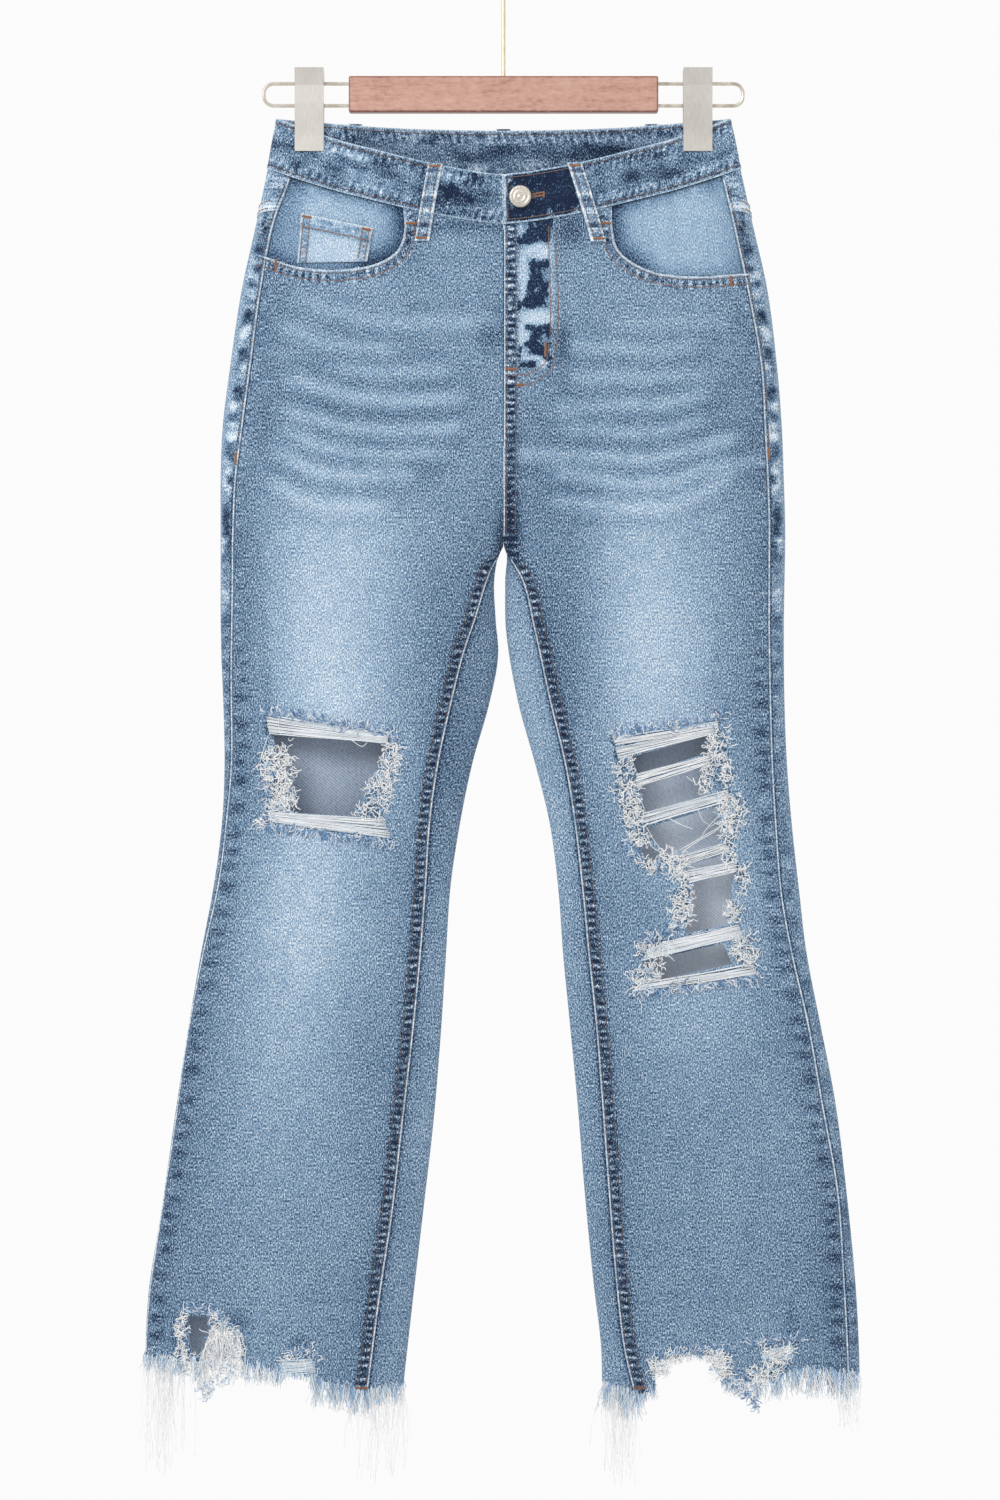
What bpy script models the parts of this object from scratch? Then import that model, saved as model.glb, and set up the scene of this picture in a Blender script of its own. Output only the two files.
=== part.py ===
"""Ripped, cropped flare jeans clipped to a trouser hanger.

The jeans hang flat from two clips.  All cloth follows one skin: at each drop below the waist a
leg's section is a flattened superellipse, whose sizes are the rows of SECTIONS and DEPTHS.
x runs to the wearer's left, the front faces -Y, and the origin is inside the top of the hook's bend.
"""
import math

import bmesh
import bpy
import numpy as np
from mathutils import Matrix

# ---------------------------------------------------------------- hanger sizes (metres)
HOOK_BEND_RADIUS = 0.018        # inside of the bend that goes over a rail
HOOK_WIRE_RADIUS = 0.0016
HOOK_FLARE_RADIUS = 0.008       # small bend between shank and hook
BLOCK_TOP = -0.105
BLOCK_LENGTH = 0.235
BLOCK_HEIGHT = 0.0274
BLOCK_DEPTH = 0.012
LOOP_WIRE_RADIUS = 0.0014
LOOP_UPPER_Z = -0.1103
LOOP_LOWER_Z = -0.1270
LOOP_REACH = 0.182              # outer end of each wire loop, from the centre
LOOP_CORNER = 0.007
CLIP_WIDTH = 0.022
CLIP_CENTRE = 0.1475
CLIP_TOP = -0.0989
CLIP_FOOT = -0.1620
CLIP_PLATE = 0.0012

# ---------------------------------------------------------------- cloth sizes (metres)
WAIST_Z = -0.137                # waistband's top at the side folds
BAND = 0.038                    # height of the waistband
CENTRE_DROP = {"front": 0.044, "back": 0.008}
DROP_SHAPE = {"front": 1.4, "back": 2.0}
HIP = 0.190                     # above this drop rows follow the waist, below they are level
CROTCH = 0.326
YOKE_AT_SIDE = 0.028            # height of the yoke at the outseam
YOKE_AT_BACK = 0.068            # and at the centre back
LOOP_HALF = 0.0053              # belt loops: half width, thickness, and how far they bow out
LOOP_WALL = 0.0018
LOOP_BOW = 0.0012
POCKET_TOP = 0.138              # back pockets
POCKET_SIDE = 0.254
POCKET_POINT = 0.018
POCKET_HALF = 0.066
POCKET_TAPER = 0.10
TUCK = 0.012                    # how far a facing runs on behind the front panel
ROUNDNESS = 2.6                 # exponent of the sections' superellipse
WALL = 0.0012                   # denim as a wall
BAND_PROUD = 0.0006
BAND_WALL = 0.0024
SEAM_GAP = 0.0002               # half of what is left open at a seam
TIP_TURN = 0.012                # the same at a fold's tip, in radians
GAP = 0.0003                    # between layers
SLACK = 0.0005                  # more of it behind a panel, whose columns are flats of a curve
BACK_COLUMNS = 16
PINCH = 0.0034                  # half thickness of both waistbands in a clip
SIDES = {"r": -1.0, "l": 1.0}

# A leg's sections.  outer, inner: its folds; outseam, inseam: its seams on the front.
# All are distances from the centre.  Above the crotch inner is the far end of the whole body.
COLUMNS = ("drop", "outer", "outseam", "inner", "inseam")
SECTIONS = {
    "r": (
        (0.000, 0.1720, 0.1520, -0.1720, 0.0000),
        (0.047, 0.1810, 0.1620, -0.1810, 0.0000),
        (0.080, 0.1880, 0.1735, -0.1880, 0.0000),
        (0.130, 0.1990, 0.1830, -0.1990, 0.0000),
        (0.190, 0.2080, 0.1910, -0.2080, 0.0000),
        (0.235, 0.2135, 0.1970, -0.1400, 0.0000),
        (0.275, 0.2150, 0.2020, -0.0600, 0.0000),
        (0.308, 0.2150, 0.2035, -0.0140, 0.0000),
        (0.326, 0.2150, 0.2040, 0.0008, 0.0008),
        (0.345, 0.2150, 0.2040, 0.0065, 0.0100),
        (0.380, 0.2150, 0.2045, 0.0060, 0.0210),
        (0.407, 0.2145, 0.2050, 0.0040, 0.0300),
        (0.443, 0.2130, 0.2050, 0.0105, 0.0390),
        (0.489, 0.2120, 0.2050, 0.0235, 0.0490),
        (0.535, 0.2140, 0.2090, 0.0330, 0.0555),
        (0.581, 0.2200, 0.2150, 0.0400, 0.0585),
        (0.640, 0.2310, 0.2280, 0.0440, 0.0630),
        (0.700, 0.2410, 0.2390, 0.0480, 0.0690),
        (0.760, 0.2500, 0.2475, 0.0530, 0.0760),
        (0.830, 0.2600, 0.2580, 0.0610, 0.0840),
        (0.890, 0.2695, 0.2670, 0.0680, 0.0930),
        (0.975, 0.2735, 0.2720, 0.0775, 0.1040),
    ),
    "l": (
        (0.000, 0.1720, 0.1550, -0.1720, 0.0000),
        (0.047, 0.1820, 0.1660, -0.1820, 0.0000),
        (0.083, 0.1900, 0.1740, -0.1900, 0.0000),
        (0.130, 0.2005, 0.1840, -0.2005, 0.0000),
        (0.190, 0.2080, 0.1945, -0.2080, 0.0000),
        (0.235, 0.2115, 0.1970, -0.1400, 0.0000),
        (0.275, 0.2130, 0.1990, -0.0600, 0.0000),
        (0.308, 0.2140, 0.2000, -0.0140, 0.0000),
        (0.326, 0.2140, 0.2000, 0.0008, 0.0008),
        (0.351, 0.2135, 0.2000, 0.0012, 0.0140),
        (0.388, 0.2130, 0.2000, 0.0018, 0.0230),
        (0.443, 0.2135, 0.2010, 0.0110, 0.0350),
        (0.492, 0.2155, 0.2025, 0.0245, 0.0467),
        (0.535, 0.2190, 0.2050, 0.0350, 0.0537),
        (0.590, 0.2250, 0.2095, 0.0420, 0.0600),
        (0.632, 0.2300, 0.2170, 0.0450, 0.0640),
        (0.689, 0.2410, 0.2300, 0.0505, 0.0700),
        (0.746, 0.2520, 0.2400, 0.0560, 0.0745),
        (0.814, 0.2605, 0.2520, 0.0615, 0.0795),
        (0.886, 0.2675, 0.2570, 0.0685, 0.0855),
        (0.932, 0.2700, 0.2595, 0.0740, 0.0910),
        (0.975, 0.2710, 0.2610, 0.0750, 0.1010),
    ),
}

# How far the cloth stands in front of and behind the plane of the side folds.
DEPTHS = (
    # drop, front, back
    (0.000, 0.0140, 0.0080),
    (0.045, 0.0180, 0.0100),
    (0.080, 0.0200, 0.0130),
    (0.150, 0.0240, 0.0160),
    (0.235, 0.0250, 0.0170),
    (0.326, 0.0230, 0.0160),
    (0.400, 0.0210, 0.0140),
    (0.500, 0.0170, 0.0120),
    (0.580, 0.0150, 0.0110),
    (0.700, 0.0150, 0.0110),
    (0.850, 0.0160, 0.0110),
    (0.975, 0.0150, 0.0110),
)

# The largest folds.  Each is a soft ridge (height above 0) or trough along a straight line from
# one end to the other; width is where it has died away to a third.
FOLDS = (
    # side, face,  out_1,  drop_1, out_2,  drop_2, width,  height
    ("r", "front", 0.184, 0.335, 0.172, 0.455, 0.0080, -0.0022),
    ("r", "front", 0.118, 0.450, 0.022, 0.372, 0.0160, 0.0030),
    ("r", "front", 0.100, 0.490, 0.035, 0.455, 0.0110, -0.0018),
    ("r", "front", 0.140, 0.030, 0.080, 0.058, 0.0060, 0.0016),
    ("r", "front", 0.180, 0.800, 0.150, 0.930, 0.0200, 0.0022),
    ("r", "back", 0.160, 0.300, 0.060, 0.350, 0.0180, -0.0025),
    ("r", "back", 0.140, 0.490, 0.060, 0.520, 0.0150, -0.0022),
    ("l", "front", 0.195, 0.345, 0.188, 0.450, 0.0090, -0.0020),
    ("l", "front", 0.112, 0.440, 0.018, 0.362, 0.0160, 0.0030),
    ("l", "front", 0.095, 0.478, 0.036, 0.445, 0.0110, -0.0018),
    ("l", "front", 0.140, 0.026, 0.082, 0.052, 0.0060, 0.0016),
    ("l", "front", 0.175, 0.880, 0.225, 0.925, 0.0120, 0.0030),
    ("l", "back", 0.150, 0.305, 0.050, 0.345, 0.0180, -0.0025),
    ("l", "back", 0.150, 0.500, 0.070, 0.525, 0.0150, -0.0022),
)

# Drops of the rows below the hip, before the last one, which is the hem.
LEVEL_ROWS = (0.220, 0.255, 0.285, 0.305, 0.319, 0.327, 0.337, 0.352, 0.376, 0.405, 0.440,
              0.480, 0.525, 0.575, 0.630, 0.690, 0.755, 0.825, 0.890)
BLEND_ROWS = (0.0, 0.25, 0.5, 0.75, 1.0)    # shares of the way from the waist seam to the hip

# The cut hems: distance out and drop.
HEMS = {
    "r": ((0.075, 0.962), (0.103, 0.965), (0.150, 0.953), (0.195, 0.944), (0.272, 0.939)),
    "l": ((0.073, 0.959), (0.101, 0.967), (0.118, 0.963), (0.165, 0.956), (0.190, 0.958),
          (0.225, 0.948), (0.271, 0.953)),
}

# Mouths of the front pockets, from the waist seam round to the outseam.
POCKET_MOUTHS = {
    "r": ((0.0770, 0.0600), (0.0750, 0.0880), (0.0800, 0.1020), (0.0930, 0.1110),
          (0.1210, 0.1165), (0.1550, 0.1140), (0.1850, 0.1040)),
    "l": ((0.0815, 0.0600), (0.0825, 0.0880), (0.0860, 0.1010), (0.0955, 0.1100),
          (0.1140, 0.1185), (0.1400, 0.1215), (0.1850, 0.1185)),
}

# Rips right through a front panel, each the outline of one window.
RIPS = {
    "r": (
        ((0.1745, 0.468), (0.0895, 0.476), (0.1050, 0.506), (0.1105, 0.530), (0.1600, 0.527)),
        ((0.2225, 0.908), (0.2385, 0.910), (0.2380, 0.936), (0.2235, 0.935)),
    ),
    "l": (
        ((0.0965, 0.485), (0.1575, 0.4675), (0.1540, 0.482), (0.1020, 0.4985)),
        ((0.1030, 0.507), (0.1540, 0.4895), (0.1480, 0.510), (0.1070, 0.5245)),
        ((0.1090, 0.5375), (0.1665, 0.520), (0.1350, 0.555), (0.1200, 0.555)),
        ((0.1010, 0.550), (0.1160, 0.553), (0.1080, 0.568)),
        ((0.1425, 0.5805), (0.1750, 0.5715), (0.1680, 0.612), (0.1380, 0.6185)),
        ((0.1050, 0.640), (0.1660, 0.626), (0.1730, 0.6415), (0.1145, 0.6545)),
    ),
}

# The arch torn out of both layers of the left hem.
HEM_ARCH = ((0.1145, 0.985), (0.1150, 0.944), (0.1240, 0.9405), (0.1450, 0.9375), (0.1630, 0.9380),
            (0.1665, 0.950), (0.1720, 0.985))

# Long wisps of fringe: where each hangs, half its width, and how far it reaches below the hem.
WISPS = {
    "r": ((0.258, 0.018, 0.095), (0.221, 0.009, 0.036), (0.090, 0.024, 0.080)),
    "l": ((0.086, 0.013, 0.080), (0.262, 0.012, 0.050)),
}
FRINGE_REACH = 0.017
FRINGE_ROOT = 0.005             # hidden behind the hem
FRINGE_WALL = 0.0010

# ---------------------------------------------------------------- scene set-up
for leftover in list(bpy.data.objects):
    bpy.data.objects.remove(leftover, do_unlink=True)

PART = bpy.data.collections.new("ripped_jeans_on_hanger")
CUTTERS = bpy.data.collections.new("cutters")
for collection in (PART, CUTTERS):
    bpy.context.scene.collection.children.link(collection)


def finish(name, colour, roughness, metallic=0.0):
    """A plain Principled material."""
    material = bpy.data.materials.new(name)
    material.use_nodes = True
    shader = material.node_tree.nodes["Principled BSDF"]
    shader.inputs["Base Color"].default_value = (*colour, 1.0)
    shader.inputs["Roughness"].default_value = roughness
    shader.inputs["Metallic"].default_value = metallic
    return material


DENIM = finish("washed_denim", (0.24, 0.34, 0.48), 0.9)
PALE_DENIM = finish("pale_denim", (0.40, 0.49, 0.58), 0.9)
FRINGE = finish("cotton_fringe", (0.72, 0.74, 0.76), 0.95)
ZIP_TAPE = finish("zip_tape", (0.10, 0.14, 0.22), 0.8)
BUTTON_METAL = finish("button_metal", (0.72, 0.68, 0.62), 0.35, 1.0)
WOOD = finish("stained_wood", (0.55, 0.33, 0.26), 0.5)
PALE_BRASS = finish("pale_brass_wire", (0.80, 0.72, 0.58), 0.3, 1.0)
NICKEL = finish("brushed_nickel", (0.70, 0.68, 0.64), 0.4, 1.0)


def solid(name, mesh, material):
    """Puts a mesh into the part as the named object."""
    made = bpy.data.objects.new(name, mesh)
    mesh.materials.append(material)
    PART.objects.link(made)
    return made


# ---------------------------------------------------------------- the cloth's skin
def smooth(at, knots, values):
    """Cubic Hermite curve through the knots; each slope is the mean of the chords beside it."""
    knots, values = np.asarray(knots), np.asarray(values)
    chord = np.diff(values) / np.diff(knots)
    slope = np.concatenate(([chord[0]], (chord[1:] + chord[:-1]) / 2, [chord[-1]]))
    at = np.clip(at, knots[0], knots[-1])
    i = np.clip(np.searchsorted(knots, at, side="right") - 1, 0, len(knots) - 2)
    step = knots[i + 1] - knots[i]
    t = (at - knots[i]) / step
    return ((2 * t**3 - 3 * t**2 + 1) * values[i] + (t**3 - 2 * t**2 + t) * step * slope[i]
            + (3 * t**2 - 2 * t**3) * values[i + 1] + (t**3 - t**2) * step * slope[i + 1])


def ease(t):
    """0 before t = 0, 1 after t = 1, and 3 t^2 - 2 t^3 between."""
    t = np.clip(t, 0.0, 1.0)
    return t * t * (3 - 2 * t)


def size(side, column, drop):
    """One column of a leg's sections at a drop."""
    rows = np.array(SECTIONS[side])
    return smooth(drop, rows[:, 0], rows[:, COLUMNS.index(column)])


def signed_power(value, power):
    """sign(value) * |value| ^ power."""
    return np.sign(value) * np.abs(value) ** power


def folds(side, turn, out, drop):
    """Sum of height * exp(-(d / width)^2), with d the distance from each fold's line."""
    total = np.zeros(np.broadcast(out, drop).shape)
    for fold_side, face, out_1, drop_1, out_2, drop_2, width, height in FOLDS:
        if fold_side != side:
            continue
        length = math.hypot(out_2 - out_1, drop_2 - drop_1)
        along = ((out_2 - out_1) / length, (drop_2 - drop_1) / length)
        run = (out - out_1) * along[0] + (drop - drop_1) * along[1]
        off_line = (drop - drop_1) * along[0] - (out - out_1) * along[1]
        past_end = run - np.clip(run, 0.0, length)
        here = np.sin(turn) > 0 if face == "front" else np.sin(turn) < 0
        total += here * height * np.exp(-(off_line**2 + (past_end / 2)**2) / width**2)
    return total * np.abs(np.sin(turn))


def skin(side, turn, drop, inset=0.0):
    """Points of the cloth, inset from its outer face.

    turn goes round a leg: 0 at the outer fold, pi / 2 in front, pi at the inner fold.
    out = centre + half * cos^(2/n) turn and y = -depth * sin^(2/n) turn, with n the roundness.
    Between the jaws of a clip y is held to the pinched thickness.
    """
    turn, drop = np.broadcast_arrays(turn, drop)
    outer, inner = size(side, "outer", drop), size(side, "inner", drop)
    depths = np.array(DEPTHS)
    front = smooth(drop, depths[:, 0], depths[:, 1])
    back = smooth(drop, depths[:, 0], depths[:, 2])
    depth = np.where(np.sin(turn) > 0, front, back) - inset
    out = (outer + inner) / 2 + ((outer - inner) / 2 - inset) * signed_power(
        np.cos(turn), 2 / ROUNDNESS)
    y = -depth * signed_power(np.sin(turn), 2 / ROUNDNESS)
    y = y - np.sign(np.sin(turn)) * folds(side, turn, out, drop)
    off_clip = np.abs(out - CLIP_CENTRE) - 0.017
    grip = (1 - ease(off_clip / 0.040)) * (1 - ease((drop - 0.030) / 0.060))
    held = np.sign(y) * np.minimum(np.abs(y), PINCH - inset)
    y = y + (held - y) * grip
    return np.stack([SIDES[side] * out, y, WAIST_Z - drop], axis=-1)


def turn_at(side, out, drop, face="front"):
    """The turn at which a section passes a distance out, on its front or its back."""
    outer, inner = size(side, "outer", drop), size(side, "inner", drop)
    share = np.clip((out - (outer + inner) / 2) / ((outer - inner) / 2), -1.0, 1.0)
    turn = np.arccos(np.clip(signed_power(share, ROUNDNESS / 2), -1.0, 1.0))
    return turn if face == "front" else -turn


def band_line(turn, down):
    """Drop of the waistband's top edge, which dips at the centres, plus a distance down.

    dip = centre * (1 - s^k), with s = cos^(2/n) turn the share of the way to the side fold.
    """
    share = np.abs(np.cos(turn)) ** (2 / ROUNDNESS)
    front = CENTRE_DROP["front"] * (1 - share ** DROP_SHAPE["front"])
    back = CENTRE_DROP["back"] * (1 - share ** DROP_SHAPE["back"])
    return np.where(np.sin(turn) > 0, front, back) + down


def seam_line(side, inner, across):
    """Drop of a front piece's top edge, just below the waistband, between inner and the outseam."""
    drop = np.full_like(across, CENTRE_DROP["front"])
    for _ in range(3):
        out = inner + (size(side, "outseam", drop) - inner) * across
        drop = band_line(turn_at(side, out, drop), BAND + GAP)
    return drop


def hem_drop(side, out):
    """Drop of the cut hem."""
    outs, drops = zip(*HEMS[side])
    return np.interp(out, outs, drops)


def wall(name, material, outside, inside, ring=False):
    """A closed wall between two grids of points, joined round their borders."""
    rows, columns = outside.shape[:2]
    count = rows * columns
    index = np.arange(count).reshape(rows, columns)
    if ring:
        index = np.hstack([index, index[:, :1]])
    skin_faces = np.stack([index[:-1, :-1], index[:-1, 1:], index[1:, 1:], index[1:, :-1]], -1)
    skin_faces = skin_faces.reshape(-1, 4)
    borders = [index[0, :], index[-1, ::-1]]
    if not ring:
        borders += [index[::-1, 0], index[:, -1]]
    rims = [np.stack([edge[:-1], edge[1:], edge[1:] + count, edge[:-1] + count], -1)
            for edge in borders]
    faces = np.vstack([skin_faces, skin_faces[:, ::-1] + count, *rims])
    mesh = bpy.data.meshes.new(name)
    points = np.concatenate([outside.reshape(-1, 3), inside.reshape(-1, 3)])
    mesh.from_pydata(points.tolist(), [], faces.tolist())
    work = bmesh.new()
    work.from_mesh(mesh)
    bmesh.ops.recalc_face_normals(work, faces=work.faces)
    work.to_mesh(mesh)
    work.free()
    mesh.shade_smooth()
    mesh.set_sharp_from_angle(angle=math.radians(40))
    return solid(name, mesh, material)


def patch(name, material, side, out, drop, inset, thickness, face="front"):
    """A wall over grids of distance out and drop on a face.  side None takes each point's own."""
    layers = []
    for depth in (inset, inset + thickness):
        if side:
            layers.append(skin(side, turn_at(side, out, drop, face), drop, depth))
        else:
            halves = [skin(s, turn_at(s, out * SIDES[s], drop, face), drop, depth) for s in "rl"]
            layers.append(np.where((out < 0)[..., None], halves[0], halves[1]))
    return wall(name, material, *layers)


def prism(outline, side, near, far):
    """A cutter's points: an outline of (out, drop) carried along Y."""
    work = bmesh.new()
    base = [work.verts.new((SIDES[side] * out, near, WAIST_Z - drop)) for out, drop in outline]
    face = work.faces.new(base)
    grown = bmesh.ops.extrude_face_region(work, geom=[face])
    moved = [v for v in grown["geom"] if isinstance(v, bmesh.types.BMVert)]
    bmesh.ops.translate(work, verts=moved, vec=(0.0, far - near, 0.0))
    bmesh.ops.recalc_face_normals(work, faces=work.faces)
    return work


def cut(target, outlines, side, near, far):
    """Takes every outline out of a panel, each with a cutter of its own."""
    for number, outline in enumerate(outlines):
        work = prism(outline, side, near, far)
        mesh = bpy.data.meshes.new(f"{target.name}_cut_{number}")
        work.to_mesh(mesh)
        work.free()
        cutter = bpy.data.objects.new(mesh.name, mesh)
        cutter.hide_render = True
        cutter.display_type = "WIRE"
        CUTTERS.objects.link(cutter)
        boolean = target.modifiers.new(cutter.name, "BOOLEAN")
        boolean.operation = "DIFFERENCE"
        boolean.object = cutter


# ---------------------------------------------------------------- legs and seat
def panel_rows(top, hem):
    """Drops of a panel's rows: from its top seam to the hip, then level, then the hem."""
    upper = [top + (HIP - top) * share for share in BLEND_ROWS]
    level = [np.full_like(top, drop) for drop in LEVEL_ROWS]
    return np.stack([*upper, *level, hem])


def front_panel(side):
    """Centre front and inseam to outseam; the pocket mouth and the rips are cut out of it."""
    across = np.linspace(0.0, 1.0, 11)
    hem_edges = size(side, "inseam", 0.95), size(side, "outseam", 0.95)
    hem = hem_drop(side, hem_edges[0] + (hem_edges[1] - hem_edges[0]) * across)
    drop = panel_rows(seam_line(side, 0.0, across), hem)
    inner_edge = size(side, "inseam", drop) + SEAM_GAP
    outer_edge = size(side, "outseam", drop) - SEAM_GAP
    out = inner_edge + (outer_edge - inner_edge) * across
    turn = np.minimum(turn_at(side, out, drop), math.pi - TIP_TURN)
    panel = wall(f"front_panel_{side}", DENIM, skin(side, turn, drop), skin(side, turn, drop, WALL))
    mouth = POCKET_MOUTHS[side]
    outlines = [(*mouth, (mouth[-1][0], 0.020), (mouth[0][0], 0.020)), *RIPS[side]]
    cut(panel, outlines, side, -0.060, 0.0)
    if side == "l":
        cut(panel, [HEM_ARCH], side, -0.061, 0.061)


def back_turns(side, drop, share):
    """Turns from the outseam round the outer fold and the back to the centre or the inseam."""
    start = turn_at(side, size(side, "outseam", drop) + SEAM_GAP, drop)
    centre_back = np.maximum(turn_at(side, SEAM_GAP, drop, "back"), TIP_TURN - math.pi)
    inseam = turn_at(side, size(side, "inseam", drop) - SEAM_GAP, drop) - 2 * math.pi
    return start + (np.where(drop < CROTCH, centre_back, inseam) - start) * share


def yoke_line(side, share, down):
    """Drop of the yoke's top (down 0) or foot (down 1), which falls towards the centre back."""
    drop = np.full_like(share, 0.06)
    for _ in range(3):
        turn = back_turns(side, drop, share)
        height = YOKE_AT_SIDE + (YOKE_AT_BACK - YOKE_AT_SIDE) * share
        drop = band_line(turn, BAND + down * height)
    return drop


def back_panel(side):
    """Outseam, round the side fold, to the centre back and the inseam, below the yoke."""
    share = np.linspace(0.0, 1.0, BACK_COLUMNS)
    top = yoke_line(side, share, 1.0)
    hem_turn = back_turns(side, np.full_like(share, 0.95), share)
    hem = hem_drop(side, np.abs(skin(side, hem_turn, 0.95)[..., 0]))
    drop = panel_rows(top + 2 * SEAM_GAP, hem)
    turn = back_turns(side, drop, share)
    panel = wall(f"back_panel_{side}", DENIM, skin(side, turn, drop), skin(side, turn, drop, WALL))
    if side == "l":
        cut(panel, [HEM_ARCH], side, -0.062, 0.062)


def yoke(side):
    """The shaped strip between the waistband and the back panel."""
    share = np.linspace(0.0, 1.0, BACK_COLUMNS)
    top = yoke_line(side, share, 0.0)
    foot = yoke_line(side, share, 1.0)
    drop = np.linspace(top + GAP, foot, 4)
    turn = back_turns(side, drop, share)
    wall(f"yoke_{side}", DENIM, skin(side, turn, drop), skin(side, turn, drop, WALL))


def facing(side):
    """The denim that shows in a pocket mouth, tucked behind the front panel."""
    outs, drops = zip(*POCKET_MOUTHS[side][1:])
    across = np.linspace(0.0, 1.0, 10)
    inner = outs[0] - TUCK
    top = seam_line(side, inner, across)
    foot = np.interp(inner + (outs[-1] - inner) * across, outs, drops) + TUCK
    drop = np.linspace(top, foot, 5)
    out = inner + (size(side, "outseam", drop) - SEAM_GAP - inner) * across
    patch(f"pocket_facing_{side}", PALE_DENIM, side, out, drop, WALL + GAP + SLACK, WALL)


for leg in SIDES:
    front_panel(leg)
    back_panel(leg)
    yoke(leg)
    facing(leg)


# ---------------------------------------------------------------- waistband and fly
def waistband():
    """A double strip from the button end, round the left, the back and the right, to the underlap."""
    quarter = np.linspace(math.pi / 2 - 0.004, -math.pi / 2, 23)
    lap = turn_at("l", np.array([0.002, 0.012, 0.022, 0.030]), 0.06)
    stretches = (("l", quarter, False), ("r", quarter[-2::-1], True), ("l", lap, True))
    layers = []
    for layer in (-BAND_PROUD, BAND_WALL - BAND_PROUD):
        columns = []
        for side, turn, tucks in stretches:
            out = skin(side, turn, 0.03)[..., 0] * SIDES[side]
            tuck = 0.0
            if tucks:
                toward_lap = 1 - ease((out - 0.004) / 0.030) if side == "r" else 1.0
                tuck = (BAND_WALL + 2 * GAP) * toward_lap * (np.sin(turn) > 0)
            drop = np.linspace(band_line(turn, 0.0), band_line(turn, BAND), 3)
            columns.append(skin(side, turn, drop, layer + tuck))
        layers.append(np.concatenate(columns, axis=1))
    wall("waistband", DENIM, *layers)


def fly_zip():
    """The closed zip behind the fly."""
    out = np.linspace(-0.013, 0.013, 5)
    drop = np.linspace(np.full(5, 0.086), np.full(5, 0.250), 7)
    patch("fly_zip", ZIP_TAPE, None, out, drop, WALL + GAP + SLACK, 0.0016)


def button():
    """A domed shank button: a turned profile of (radius, height) pairs."""
    profile = ((0.0, 0.0044), (0.0055, 0.0042), (0.0066, 0.0048), (0.0080, 0.0044), (0.0085, 0.0034),
               (0.0080, 0.0024), (0.0035, 0.0018), (0.0032, 0.0), (0.0, 0.0))
    mesh = bpy.data.meshes.new("button")
    mesh.from_pydata([(radius, 0.0, height) for radius, height in profile], [
        (i, i + 1) for i in range(len(profile) - 1)], [])
    made = solid("button", mesh, BUTTON_METAL)
    screw = made.modifiers.new("turned", "SCREW")
    screw.steps = screw.render_steps = 32
    screw.use_merge_vertices = True
    screw.merge_threshold = 0.00001
    out, drop = 0.0125, 0.0616
    seat = skin("l", turn_at("l", out, drop), drop, -BAND_PROUD - 0.0005)
    made.matrix_world = Matrix.Translation(seat.tolist()) @ Matrix.Rotation(math.pi / 2, 4, "X")


waistband()
fly_zip()
button()


# ---------------------------------------------------------------- pockets and loops
def coin_pocket():
    """A small patch on the right facing; its foot runs down to the pocket mouth."""
    upper = np.linspace((0.1525, 0.0730), (0.0985, 0.0850), 5)
    lower = np.linspace((0.1560, 0.1110), (0.1030, 0.1105), 5)
    both = np.linspace(upper, lower, 4)
    patch("coin_pocket", PALE_DENIM, "r", both[..., 0], both[..., 1], 0.0, WALL)


def back_pocket(side):
    """A plain five-sided patch pocket on the seat."""
    across = np.linspace(-1.0, 1.0, 7)
    foot = POCKET_SIDE + POCKET_POINT * (1 - np.abs(across))
    drop = np.linspace(np.full_like(foot, POCKET_TOP), foot, 6)
    out = 0.098 + across * (POCKET_HALF - POCKET_TAPER * (drop - POCKET_TOP))
    patch(f"back_pocket_{side}", DENIM, side, out, drop, -WALL - GAP, WALL, "back")


def belt_loop(name, side, face, upper, lower):
    """A folded strip over the waistband, bowed out a little between its two bartacks."""
    rows = 7
    drop = np.linspace(np.full(3, upper[1]), np.full(3, lower[1]), rows)
    middle = np.linspace(upper[0], lower[0], rows)[:, None]
    out = middle + np.array([-LOOP_HALF, 0.0, LOOP_HALF])
    bow = np.sin(np.linspace(0, math.pi, rows))[:, None] * LOOP_BOW
    patch(name, DENIM, side, out, drop, -BAND_PROUD - GAP - LOOP_WALL - bow, LOOP_WALL, face)


coin_pocket()
back_pocket("r")
back_pocket("l")
belt_loop("belt_loop_front_r", "r", "front", (0.051, 0.0360), (0.061, 0.0950))
belt_loop("belt_loop_front_l", "l", "front", (0.053, 0.0355), (0.071, 0.0955))
belt_loop("belt_loop_side_r", "r", "back", (0.112, 0.0030), (0.112, 0.0620))
belt_loop("belt_loop_side_l", "l", "back", (0.112, 0.0030), (0.112, 0.0620))
belt_loop("belt_loop_back", None, "back", (0.0, 0.0065), (0.0, 0.0655))


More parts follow.
